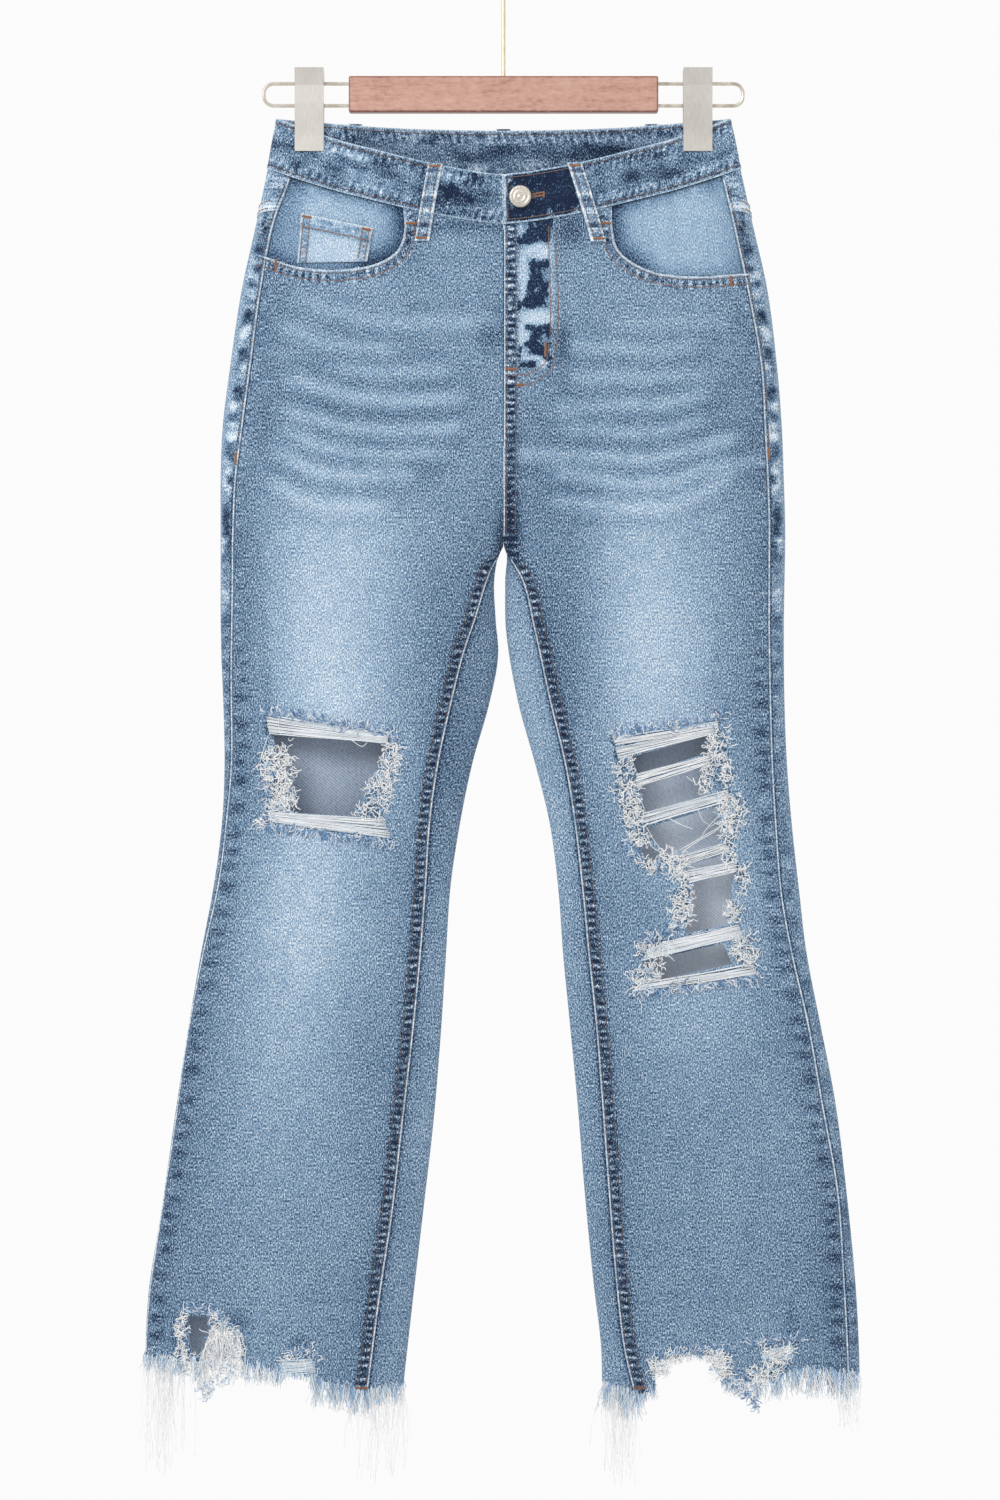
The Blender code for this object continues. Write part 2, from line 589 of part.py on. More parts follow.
# ---------------------------------------------------------------- fringe of the cut hems
def hem_fringe(side):
    """A plain ring of the fringe's reach, rooted just behind the hem."""
    turn = np.linspace(0.0, 2 * math.pi, 56, endpoint=False) + 0.03
    out = np.abs(skin(side, turn, 0.95)[..., 0])
    hem = hem_drop(side, out)
    if side == "l":
        arch_out, arch_drop = zip(*HEM_ARCH)
        in_arch = (out > arch_out[0]) & (out < arch_out[-1])
        hem = np.where(in_arch, np.minimum(hem, np.interp(out, arch_out, arch_drop)), hem)
    reach = np.full_like(hem, FRINGE_REACH)
    for where, half, length in WISPS[side]:
        reach = np.maximum(reach, length * (1 - ease(np.abs(out - where) / half - 0.4)))
    drop = np.stack([hem - FRINGE_ROOT, hem + FRINGE_REACH / 2, hem + reach])
    root = WALL + GAP + 2 * SLACK
    wall(f"hem_fringe_{side}", FRINGE, skin(side, turn, drop, root),
         skin(side, turn, drop, root + FRINGE_WALL), ring=True)


hem_fringe("r")
hem_fringe("l")


# ---------------------------------------------------------------- the hanger
def block():
    """The wooden bar, its long edges eased."""
    mesh = bpy.data.meshes.new("hanger_block")
    work = bmesh.new()
    bmesh.ops.create_cube(work, size=1.0)
    bmesh.ops.scale(work, vec=(BLOCK_LENGTH, BLOCK_DEPTH, BLOCK_HEIGHT), verts=work.verts)
    bmesh.ops.translate(work, vec=(0.0, 0.0, BLOCK_TOP - BLOCK_HEIGHT / 2), verts=work.verts)
    work.to_mesh(mesh)
    work.free()
    made = solid("hanger_block", mesh, WOOD)
    edge = made.modifiers.new("eased_edges", "BEVEL")
    edge.width, edge.segments = 0.0015, 3


def wire(name, points, radius, material):
    """Round wire along a path, its ends filled."""
    curve = bpy.data.curves.new(name, "CURVE")
    curve.dimensions = "3D"
    curve.bevel_depth = radius
    curve.bevel_resolution = 2
    curve.use_fill_caps = True
    spline = curve.splines.new("POLY")
    spline.points.add(len(points) - 1)
    for point, place in zip(spline.points, points):
        point.co = (*place, 1.0)
    curve.materials.append(material)
    made = bpy.data.objects.new(name, curve)
    PART.objects.link(made)


def arc(centre, radius, start, end, steps):
    """Points of an arc in the XZ plane, angles in degrees."""
    angles = np.radians(np.linspace(start, end, steps))
    return [(centre[0] + radius * math.cos(a), 0.0, centre[1] + radius * math.sin(a)) for a in angles]


def hook():
    """Shank, small flare and open bend; the bend's circle touches the flare's from outside."""
    middle = HOOK_BEND_RADIUS + HOOK_WIRE_RADIUS
    centre = (0.0, -HOOK_BEND_RADIUS)
    fall = math.sqrt(middle**2 + 2 * middle * HOOK_FLARE_RADIUS)
    flare = (HOOK_FLARE_RADIUS, centre[1] - fall)
    meet = math.degrees(math.atan2(fall, -HOOK_FLARE_RADIUS))
    path = [(0.0, 0.0, BLOCK_TOP + GAP), (0.0, 0.0, flare[1] - 0.020)]
    path += arc(flare, HOOK_FLARE_RADIUS, 180, meet, 7)
    path += arc(centre, middle, meet - 180, 205, 24)[1:]
    wire("hanger_hook", path, HOOK_WIRE_RADIUS, PALE_BRASS)


def wire_loop(side):
    """A flattened U of wire from the end of the block, which the clip slides on."""
    sign = SIDES[side]
    start = BLOCK_LENGTH / 2 + GAP
    corner = LOOP_REACH - LOOP_CORNER
    path = [(start, 0.0, LOOP_UPPER_Z)]
    path += arc((corner, LOOP_UPPER_Z - LOOP_CORNER), LOOP_CORNER, 90, 0, 6)
    path += arc((corner, LOOP_LOWER_Z + LOOP_CORNER), LOOP_CORNER, 0, -90, 6)
    path += [(start, 0.0, LOOP_LOWER_Z)]
    wire(f"hanger_wire_{side}", [(sign * x, y, z) for x, y, z in path], LOOP_WIRE_RADIUS, PALE_BRASS)


def clip(side):
    """Two sprung plates joined by a web between the wires; their feet grip the waistband."""
    jaw = PINCH + BAND_PROUD + GAP
    web = (LOOP_UPPER_Z - LOOP_WIRE_RADIUS - GAP, LOOP_LOWER_Z + LOOP_WIRE_RADIUS + GAP)
    grip_z, finger = CLIP_FOOT + 0.012, 0.0072
    inside = ((finger, CLIP_TOP), (jaw + 0.001, web[0]), (jaw + 0.001, web[1]), (jaw, grip_z),
              (jaw, CLIP_FOOT))
    front = [(-y - CLIP_PLATE, z) for y, z in inside] + [(-y, z) for y, z in inside[:1:-1]]
    rear = [(y, z) for y, z in inside[2:]] + [(y + CLIP_PLATE, z) for y, z in inside[::-1]]
    crown = [(y, z) for y, z in inside[:2]] + [(-y, z) for y, z in inside[1::-1]]
    outline = front + rear + crown
    work = bmesh.new()
    near = SIDES[side] * CLIP_CENTRE - CLIP_WIDTH / 2
    face = work.faces.new([work.verts.new((near, y, z)) for y, z in outline])
    grown = bmesh.ops.extrude_face_region(work, geom=[face])
    moved = [v for v in grown["geom"] if isinstance(v, bmesh.types.BMVert)]
    bmesh.ops.translate(work, verts=moved, vec=(CLIP_WIDTH, 0.0, 0.0))
    bmesh.ops.recalc_face_normals(work, faces=work.faces)
    mesh = bpy.data.meshes.new(f"clip_{side}")
    work.to_mesh(mesh)
    work.free()
    solid(f"clip_{side}", mesh, NICKEL)


block()
hook()
for end in SIDES:
    wire_loop(end)
    clip(end)
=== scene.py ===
import math

import bmesh
import bpy
import numpy as np
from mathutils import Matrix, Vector


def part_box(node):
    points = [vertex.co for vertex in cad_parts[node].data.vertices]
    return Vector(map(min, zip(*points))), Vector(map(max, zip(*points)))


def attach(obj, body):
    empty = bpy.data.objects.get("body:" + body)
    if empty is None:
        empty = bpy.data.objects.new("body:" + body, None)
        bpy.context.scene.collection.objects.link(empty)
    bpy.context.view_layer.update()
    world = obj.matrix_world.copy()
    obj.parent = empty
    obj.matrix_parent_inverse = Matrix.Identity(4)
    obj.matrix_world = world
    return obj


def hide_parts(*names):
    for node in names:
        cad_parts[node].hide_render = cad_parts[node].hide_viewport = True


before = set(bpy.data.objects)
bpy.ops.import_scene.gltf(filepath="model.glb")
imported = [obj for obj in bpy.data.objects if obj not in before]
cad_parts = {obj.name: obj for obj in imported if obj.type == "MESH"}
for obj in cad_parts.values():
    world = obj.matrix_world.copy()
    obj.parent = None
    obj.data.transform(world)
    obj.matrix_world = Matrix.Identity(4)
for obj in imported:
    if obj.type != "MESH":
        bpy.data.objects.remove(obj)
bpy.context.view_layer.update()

# ---------------------------------------------------------------------------------------------
# Front panels: the two halves of the front, from the fly and the inseam to the outseam.
# Stretch denim of about 1.1 mm, stone-washed, ground away at the thighs and along the whiskers.
# Cut flat, sewn to the back panels, and slit at the knees so that the weft yarns show.

# All cloth follows one skin: at each drop below the waist a leg's section is a flattened
# superellipse.  out runs away from the centre, drop runs down, side r is the wearer's right.
WAIST_Z = -0.137                # waistband's top at the side folds
BAND = 0.038                    # height of the waistband
CENTRE_DROP = {"front": 0.044, "back": 0.008}
DROP_SHAPE = {"front": 1.4, "back": 2.0}
HIP = 0.190                     # above this drop rows follow the waist, below they are level
LAST_LEVEL = 0.9185             # below this drop rows follow the hem
FLY_FOOT = 0.206
INSEAM_START = 0.335            # drop below which the inseam's seam shows on the front
FLARE = 0.95                    # drop just above the hems, where their grids are measured
ROUNDNESS = 2.6                 # exponent of the sections' superellipse
SEAM_GAP = 0.0002               # half of what is left open at a seam
TIP_TURN = 0.012                # the same at a fold's tip, in radians
GAP = 0.0003
DENIM_WALL = 0.0011
FELLED = 0.0004                 # how far the folded layers of a felled seam stand proud
FELLED_WIDTH = 0.0095
MOUTH_HEM = 0.0006              # how far the folded hem of a pocket mouth stands proud
PINCH = 0.0034                  # half thickness of both waistbands in a clip
CLIP_CENTRE = 0.1475
SIDES = {"r": -1.0, "l": 1.0}


def metres(sizes):
    """Tables with their whole numbers, tenths of a millimetre, as metres; the rest is kept."""
    if isinstance(sizes, dict):
        return {key: metres(rows) for key, rows in sizes.items()}
    if isinstance(sizes, tuple):
        return tuple(map(metres, sizes))
    return sizes / 10000 if isinstance(sizes, int) else sizes


# outer, inner: a leg's folds; outseam, inseam: its seams on the front, all from the centre.
COLUMNS = ("drop", "outer", "outseam", "inner", "inseam")
SECTIONS = metres({
    "r": (
        (0, 1720, 1520, -1720, 0), (470, 1810, 1620, -1810, 0), (800, 1880, 1735, -1880, 0),
        (1300, 1990, 1830, -1990, 0), (1900, 2080, 1910, -2080, 0), (2350, 2135, 1970, -1400, 0),
        (2750, 2150, 2020, -600, 0), (3080, 2150, 2035, -140, 0), (3260, 2150, 2040, 8, 8),
        (3450, 2150, 2040, 65, 100), (3800, 2150, 2045, 60, 210), (4070, 2145, 2050, 40, 300),
        (4430, 2130, 2050, 105, 390), (4890, 2120, 2050, 235, 490), (5350, 2140, 2090, 330, 555),
        (5810, 2200, 2150, 400, 585), (6400, 2310, 2280, 440, 630), (7000, 2410, 2390, 480, 690),
        (7600, 2500, 2475, 530, 760), (8300, 2600, 2580, 610, 840), (8900, 2695, 2670, 680, 930),
        (9750, 2735, 2720, 775, 1040),
    ),
    "l": (
        (0, 1720, 1550, -1720, 0), (470, 1820, 1660, -1820, 0), (830, 1900, 1740, -1900, 0),
        (1300, 2005, 1840, -2005, 0), (1900, 2080, 1945, -2080, 0), (2350, 2115, 1970, -1400, 0),
        (2750, 2130, 1990, -600, 0), (3080, 2140, 2000, -140, 0), (3260, 2140, 2000, 8, 8),
        (3510, 2135, 2000, 12, 140), (3880, 2130, 2000, 18, 230), (4430, 2135, 2010, 110, 350),
        (4920, 2155, 2025, 245, 467), (5350, 2190, 2050, 350, 537), (5900, 2250, 2095, 420, 600),
        (6320, 2300, 2170, 450, 640), (6890, 2410, 2300, 505, 700), (7460, 2520, 2400, 560, 745),
        (8140, 2605, 2520, 615, 795), (8860, 2675, 2570, 685, 855), (9320, 2700, 2595, 740, 910),
        (9750, 2710, 2610, 750, 1010),
    ),
})

# How far the cloth stands in front of and behind the plane of the side folds.
DEPTHS = metres((
    # drop, front, back
    (0, 140, 80), (450, 180, 100), (800, 200, 130), (1500, 240, 160), (2350, 250, 170),
    (3260, 230, 160), (4000, 210, 140), (5000, 170, 120), (5800, 150, 110), (7000, 150, 110),
    (8500, 160, 110), (9750, 150, 110),
))

# Folds and creases.  Each is a soft ridge (height above 0) or trough along a line of points
# (out, drop); width is where it has died away to a third.
FOLDS = metres({
    # width, height, line
    ("r", "front"): (
        (80, -22, ((1840, 3350), (1720, 4550))), (160, 30, ((1180, 4500), (220, 3720))),
        (110, -18, ((1000, 4900), (350, 4550))), (60, 16, ((1400, 300), (800, 580))),
        (200, 22, ((1800, 8000), (1500, 9300))), (36, 9, ((1500, 180), (1080, 300), (700, 500))),
        (30, -8, ((1520, 300), (1120, 440), (820, 620))),
        (34, 8, ((1600, 480), (1200, 580), (960, 700))),
        (60, 10, ((160, 3450), (500, 3520), (860, 3490))),
        (70, -10, ((180, 3620), (520, 3840), (980, 4100))),
        (60, 11, ((300, 4100), (560, 4400), (700, 4780))),
        (100, 12, ((960, 5660), (1400, 5820), (1900, 5740))),
        (90, -10, ((800, 5900), (1300, 6120), (1760, 6040))),
        (120, 12, ((1180, 6400), (1240, 7400), (1160, 8500))),
        (140, -12, ((2000, 6400), (2080, 7400), (2220, 8600))),
        (110, -14, ((1200, 9550), (1260, 9000), (1400, 8500))),
        (80, 14, ((2260, 9500), (2320, 8900), (2280, 8300))),
    ),
    ("r", "back"): (
        (180, -25, ((1600, 3000), (600, 3500))), (150, -22, ((1400, 4900), (600, 5200))),
        (80, 12, ((200, 3180), (640, 3260), (1200, 3060))),
        (70, 12, ((300, 3720), (700, 3880), (1200, 3920))),
        (90, 16, ((700, 4740), (1200, 4820), (1760, 4700))),
        (80, 14, ((640, 5440), (1100, 5520), (1680, 5380))),
        (120, 14, ((1400, 6200), (1500, 7400), (1420, 8600))),
        (100, -14, ((2000, 7000), (2060, 8200), (2140, 9300))),
    ),
    ("l", "front"): (
        (90, -20, ((1950, 3450), (1880, 4500))), (160, 30, ((1120, 4400), (180, 3620))),
        (110, -18, ((950, 4780), (360, 4450))), (60, 16, ((1400, 260), (820, 520))),
        (120, 30, ((1750, 8800), (2250, 9250))), (36, 9, ((1500, 160), (1080, 280), (720, 480))),
        (30, -8, ((1540, 300), (1140, 430), (860, 600))),
        (34, 8, ((1620, 500), (1240, 580), (980, 680))),
        (60, 10, ((160, 3400), (480, 3460), (820, 3440))),
        (70, -10, ((200, 3560), (520, 3760), (940, 4020))),
        (60, 11, ((280, 4000), (540, 4300), (680, 4700))),
        (100, 12, ((800, 6900), (1280, 7020), (1860, 6940))),
        (120, 12, ((1300, 7200), (1380, 8000), (1280, 8800))),
        (140, -12, ((1960, 6800), (2120, 7800), (2260, 8600))),
        (100, -16, ((1680, 9050), (2000, 9000), (2360, 9260))),
        (70, 16, ((2120, 9550), (2200, 9250), (2360, 8980))),
    ),
    ("l", "back"): (
        (180, -25, ((1500, 3050), (500, 3450))), (150, -22, ((1500, 5000), (700, 5250))),
        (80, 12, ((180, 3140), (600, 3220), (1160, 3020))),
        (70, 12, ((300, 3660), (720, 3840), (1180, 3860))),
        (90, 16, ((720, 4800), (1240, 4860), (1800, 4760))),
        (80, 14, ((660, 5500), (1140, 5600), (1720, 5460))),
        (120, 14, ((1500, 6300), (1580, 7500), (1500, 8700))),
        (100, -14, ((2020, 6900), (2100, 8100), (2160, 9200))),
    ),
})

# Whiskers: lines where the hip creases were ground pale.
WHISKERS = metres({
    # strength, line
    "r": (
        (0.6, ((160, 1560), (650, 1570), (1000, 1560), (1300, 1470), (1430, 1430))),
        (0.7, ((930, 1760), (1320, 1740), (1460, 1680), (1590, 1630))),
        (0.65, ((510, 1940), (860, 1950), (1210, 1920))),
        (1.0, ((440, 2140), (790, 2160), (1100, 2140), (1320, 2070), (1520, 2020))),
        (1.0, ((440, 2370), (860, 2390), (1210, 2360), (1580, 2260))),
        (1.0, ((570, 2550), (930, 2570), (1210, 2540), (1420, 2490), (1600, 2410))),
        (0.95, ((790, 2710), (1140, 2720), (1400, 2690), (1520, 2640), (1630, 2570))),
        (0.7, ((1000, 2960), (1350, 2950), (1550, 2890), (1660, 2820))),
    ),
    "l": (
        (0.45, ((950, 1580), (1240, 1570), (1560, 1560))),
        (0.6, ((570, 1750), (890, 1760), (1140, 1790), (1320, 1760))),
        (0.7, ((600, 1980), (1100, 1980), (1520, 1960))),
        (0.8, ((470, 2230), (820, 2190), (1170, 2190), (1450, 2120))),
        (0.75, ((540, 2370), (890, 2400), (1170, 2400), (1380, 2340))),
        (1.0, ((190, 2570), (670, 2590), (1100, 2610), (1320, 2550), (1660, 2470))),
        (1.0, ((470, 2710), (950, 2790), (1240, 2770), (1520, 2670), (1870, 2610))),
        (0.8, ((470, 2930), (950, 2960), (1240, 2950), (1660, 2770))),
    ),
})

# The pale ground-off zone down each leg: a bell across the leg at each drop.
FADES = metres({
    # drop, centre, half width, rise
    ("r", "front"): (
        (800, 1200, 500, 0.0), (2600, 1300, 500, 0.05), (3100, 1250, 480, 0.22),
        (3700, 1300, 500, 0.3), (4500, 1320, 500, 0.3), (5200, 1400, 500, 0.24),
        (5800, 1480, 460, 0.28), (6400, 1520, 440, 0.25), (7000, 1600, 420, 0.15),
        (8000, 1680, 400, 0.08), (9700, 1700, 400, 0.0),
    ),
    ("l", "front"): (
        (800, 1200, 500, 0.0), (2600, 1200, 500, 0.04), (3100, 1080, 420, 0.2),
        (3700, 1100, 460, 0.28), (4500, 1150, 480, 0.27), (5200, 1500, 500, 0.24),
        (6000, 1600, 450, 0.18), (6800, 1500, 450, 0.1), (7600, 1500, 500, 0.03),
        (9700, 1500, 500, 0.0),
    ),
    ("r", "back"): (
        (800, 900, 700, 0.02), (2000, 980, 600, 0.16), (2800, 1000, 550, 0.14),
        (3600, 1100, 500, 0.06), (5200, 1200, 550, 0.12), (7000, 1400, 600, 0.08),
        (9700, 1500, 600, 0.02),
    ),
})
FADES["l", "back"] = FADES["r", "back"]

# Outer crease of each thigh: drop and distance out.  Beyond it the pale zone is cut back, which paints
# the crease's shaded outer side darker.
SHADED_CREASE_LINE = metres({
    "r": ((3300, 1840), (4550, 1720), (6000, 1700)),
    "l": ((3300, 1660), (4550, 1520), (6000, 1660)),
})
GROUND = metres(((0, 0.52), (2000, 0.52), (3500, 0.5), (6000, 0.49), (9700, 0.475)))

# The cut hems: distance out and drop.
HEMS = metres({
    "r": ((750, 9620), (1030, 9650), (1500, 9530), (1950, 9440), (2720, 9390)),
    "l": (
        (730, 9590), (1010, 9670), (1180, 9630), (1650, 9560), (1900, 9580), (2250, 9480),
        (2710, 9530),
    ),
})

# Mouths of the front pockets, from the waist seam round to the outseam.
POCKET_MOUTHS = metres({
    "r": (
        (770, 600), (750, 880), (800, 1020), (930, 1110), (1210, 1165), (1550, 1140), (1850, 1040),
    ),
    "l": (
        (815, 600), (825, 880), (860, 1010), (955, 1100), (1140, 1185), (1400, 1215), (1850, 1185),
    ),
})

# Rips right through a front panel, each the outline of one window.
RIPS = metres({
    "r": (
        ((1745, 4680), (890, 4750), (915, 4930), (995, 5040), (1085, 5210), (1120, 5300), (1600, 5270)),
        ((2240, 9085), (2390, 9080), (2383, 9250), (2358, 9375), (2300, 9375), (2245, 9190)),
    ),
    "l": (
        ((965, 4850), (1575, 4675), (1540, 4820), (1020, 4985)),
        ((1030, 5070), (1540, 4895), (1510, 5165), (1060, 5290)),
        ((1060, 5395), (1670, 5205), (1655, 5400), (1625, 5515), (1345, 5600), (1215, 5575)),
        ((1395, 5670), (1660, 5590), (1662, 5660), (1400, 5710)),
        ((1015, 5500), (1050, 5465), (1195, 5605), (1145, 5685), (1080, 5630)),
        ((1425, 5805), (1750, 5715), (1680, 6120), (1380, 6185)),
        ((1050, 6400), (1660, 6260), (1730, 6415), (1145, 6545)),
    ),
})

# Pieces torn out of both layers at the hems: a wedge on the right leg, an arch on the left.
HEM_TEARS = metres({
    "r": ((1974, 9850), (1978, 9400), (1995, 9200), (2206, 9170), (2280, 9420), (2290, 9850)),
    "l": (
        (1145, 9850), (1150, 9440), (1240, 9405), (1450, 9375), (1630, 9380), (1665, 9500),
        (1720, 9850),
    ),
})

# Bands across the rips where the warp is gone and only the white weft is left: top and foot of
# the band's inner or outer end, then of its other end.
WEFT_BANDS = metres({
    "r": (
        ((1798, 4527), (1771, 4675), (877, 4689), (877, 4745)),
        ((1767, 5266), (1780, 5334), (912, 5321), (851, 5465)),
    ),
    "l": (
        ((825, 4699), (849, 4759), (1617, 4579), (1620, 4621)),
        ((849, 4779), (868, 4859), (1585, 4631), (1593, 4672)),
        ((1001, 4979), (1017, 5072), (1553, 4835), (1553, 4902)),
        ((1041, 5283), (1057, 5371), (1697, 5099), (1697, 5182)),
        ((1337, 5603), (1377, 5670), (1681, 5499), (1697, 5563)),
        ((1361, 5718), (1406, 5803), (1761, 5643), (1761, 5718)),
        ((1185, 6258), (1041, 6390), (1777, 6122), (1809, 6207)),
        ((1025, 6565), (977, 6623), (1841, 6421), (1937, 6490)),
    ),
})

# The same at small tears near the hems, thinner.
HEM_WEFT = metres({
    "r": ((1676, 9412), (1686, 9525), (1444, 9402), (1419, 9497)),
    "l": ((1964, 9345), (2007, 9420), (2184, 9296), (2147, 9392)),
})

# Wash levels of what shows between the yarns.  Under a knee band it is painted shade, dark cloth for the
# shadowed hole behind the weft; behind fluff it is painted shade too, darker cloth for the gaps between
# the strands; at the hem tears it is pale.
SHADE_UNDER_WEFT = 0.16
BEHIND_HEM_WEFT = 0.86
SHADE_UNDER_FLUFF = 0.38

# Curly white fluff where yarns were pulled out: how many, and the four corners of its patch in
# tenths of a millimetre.
FLUFF = {
    "r": (
        (300, ((1828, 4800), (1625, 4785), (1584, 5256), (1758, 5256))),
        (110, ((905, 4750), (790, 4758), (799, 4978), (935, 4960))),
        (150, ((965, 4950), (825, 4985), (915, 5308), (1115, 5308))),
        (50, ((1750, 5230), (1715, 5308), (1846, 5387), (1880, 5360))),
        (130, ((2475, 9060), (2405, 9060), (2390, 9420), (2475, 9434))),
        (60, ((2210, 9068), (2136, 9082), (2051, 9181), (2206, 9167))),
        (290, ((2206, 9167), (1995, 9195), (1974, 9518), (2290, 9631))),
        (40, ((2304, 9602), (2192, 9574), (2206, 9701), (2276, 9687))),
        (40, ((2417, 9392), (2290, 9377), (2333, 9532), (2445, 9546))),
        (26, ((1686, 9372), (1419, 9343), (1412, 9404), (1644, 9432))),
    ),
    "l": (
        (80, ((841, 4867), (969, 4867), (1049, 5123), (849, 5139))),
        (70, ((833, 5107), (961, 5107), (1057, 5235), (913, 5363))),
        (60, ((921, 5251), (1057, 5251), (1081, 5379), (945, 5523))),
        (40, ((945, 5411), (1073, 5411), (1089, 5523), (993, 5515))),
        (200, ((1553, 4643), (1681, 4627), (1721, 5075), (1473, 5107))),
        (150, ((1617, 5139), (1777, 5123), (1801, 5379), (1649, 5459))),
        (60, ((1649, 5443), (1761, 5363), (1761, 5651), (1681, 5667))),
        (110, ((1161, 5587), (1329, 5571), (1409, 5763), (1297, 5763))),
        (50, ((985, 5619), (1057, 5619), (1217, 5699), (1137, 5731))),
        (130, ((1289, 5843), (1425, 5827), (1425, 6082), (1265, 6178))),
        (60, ((1761, 5683), (1841, 5683), (1841, 5827), (1761, 5907))),
        (60, ((1681, 5939), (1793, 5955), (1785, 6098), (1681, 6098))),
        (70, ((1009, 6290), (1249, 6226), (1233, 6370), (1041, 6354))),
        (90, ((961, 6466), (1217, 6434), (1185, 6530), (977, 6594))),
        (120, ((1681, 6210), (1889, 6194), (1921, 6434), (1745, 6402))),
        (90, ((1135, 9420), (1248, 9420), (1241, 9518), (1135, 9532))),
        (130, ((1557, 9370), (1691, 9349), (1698, 9518), (1627, 9560))),
        (90, ((1852, 9490), (2063, 9462), (2007, 9574), (1824, 9602))),
        (60, ((1965, 9335), (2189, 9307), (2133, 9448), (2021, 9448))),
    ),
}

# Torn-edged patches on the placket's navy ground: raw (strength above 0) or bleached (below 0).
PLACKET_DARK = 0.74
WASH_PATCHES = metres((
    # out, drop, half across, half down, strength
    (275, 1030, 125, 58, -1.1), (145, 1190, 42, 150, -1.0), (140, 1390, 26, 85, -0.6),
    (375, 1260, 22, 290, -1.0), (250, 1530, 140, 62, -1.1), (125, 1660, 42, 85, -1.0),
    (175, 1665, 30, 40, -0.6), (155, 1800, 18, 45, -0.75), (220, 1835, 75, 14, -0.8),
    (300, 1880, 45, 35, -0.85), (185, 1965, 80, 16, -0.7), (130, 860, 26, 60, -0.7),
    (250, 1330, 30, 30, -0.3), (190, 1420, 60, 30, 0.5), (350, 1640, 30, 50, 0.45),
))

# Soft dark patches of the front.  Most are painted shade: below the waistband beside the fly, in the
# crotch, along a fold above the left hem and above the tears at the right hem.  The rest are darker wash
# where cloth lay folded.
WASH_DARKS_AND_PAINTED_SHADE = metres({
    # out, drop, half across, half down, fall of the wash level
    "r": (
        (100, 1690, 120, 100, 0.16), (400, 840, 400, 60, 0.2), (700, 1000, 120, 300, 0.06),
        (10, 3180, 45, 220, 0.34), (400, 3900, 300, 900, 0.1), (2040, 9124, 110, 60, 0.24),
        (1543, 9290, 60, 60, 0.24), (2478, 9220, 40, 140, 0.18), (150, 830, 300, 35, 0.14),
        (2000, 8700, 700, 400, 0.04),
    ),
    "l": (
        (500, 880, 130, 110, 0.38), (445, 1720, 60, 140, 0.3), (460, 2000, 80, 60, 0.1),
        (500, 780, 500, 50, 0.12), (45, 3120, 75, 260, 0.5), (450, 3900, 300, 900, 0.15),
        (2180, 9180, 50, 180, 0.16),
    ),
})


def smooth(at, knots, values):
    """Cubic Hermite curve through the knots; each slope is the mean of the chords beside it."""
    knots, values = np.asarray(knots), np.asarray(values)
    chord = np.diff(values) / np.diff(knots)
    slope = np.concatenate(([chord[0]], (chord[1:] + chord[:-1]) / 2, [chord[-1]]))
    at = np.clip(at, knots[0], knots[-1])
    i = np.clip(np.searchsorted(knots, at, side="right") - 1, 0, len(knots) - 2)
    step = knots[i + 1] - knots[i]
    t = (at - knots[i]) / step
    return ((2 * t**3 - 3 * t**2 + 1) * values[i] + (t**3 - 2 * t**2 + t) * step * slope[i]
            + (3 * t**2 - 2 * t**3) * values[i + 1] + (t**3 - t**2) * step * slope[i + 1])


def read(rows, at):
    """Straight-line reading of a table of (place, value) rows."""
    return np.interp(at, *zip(*rows))


def rising(x, start, width):
    """0 up to start, 1 from start + width on, and 3 t^2 - 2 t^3 between."""
    t = np.clip((x - start) / width, 0.0, 1.0)
    return t * t * (3 - 2 * t)


def falling(x, start, width):
    """1 up to start, 0 from start + width on."""
    return 1 - rising(x, start, width)


def bell(x, width, centre=0.0):
    """exp(-((x - centre) / width)^2)."""
    return np.exp(-((x - centre) / width)**2)


def size(side, column, drop):
    """One column of a leg's sections at a drop."""
    rows = np.array(SECTIONS[side])
    return smooth(drop, rows[:, 0], rows[:, COLUMNS.index(column)])


def signed_power(value, power):
    """sign(value) * |value| ^ power."""
    return np.sign(value) * np.abs(value) ** power


def line_distance(out, drop, line):
    """Distance to an open line of points, and twice as much past its two ends."""
    nearest = np.full(np.broadcast(out, drop).shape, 1.0)
    for start, stop in zip(line[:-1], line[1:]):
        length = math.hypot(stop[0] - start[0], stop[1] - start[1])
        along = ((stop[0] - start[0]) / length, (stop[1] - start[1]) / length)
        run = (out - start[0]) * along[0] + (drop - start[1]) * along[1]
        off_line = (drop - start[1]) * along[0] - (out - start[0]) * along[1]
        past = run - np.clip(run, 0.0, length)
        nearest = np.minimum(nearest, np.hypot(off_line, past / 2))
    return nearest


def folds(side, turn, out, drop):
    """Sum of height * exp(-(distance / width)^2) over the folds of a leg."""
    total = np.zeros(np.broadcast(out, drop).shape)
    for face, here in (("front", np.sin(turn) > 0), ("back", np.sin(turn) < 0)):
        for width, height, line in FOLDS[side, face]:
            total += here * height * bell(line_distance(out, drop, line), width)
    for strength, line in WHISKERS[side]:
        total += (np.sin(turn) > 0) * 0.0004 * strength * bell(line_distance(out, drop, line), 0.0055)
    return total * np.abs(np.sin(turn))


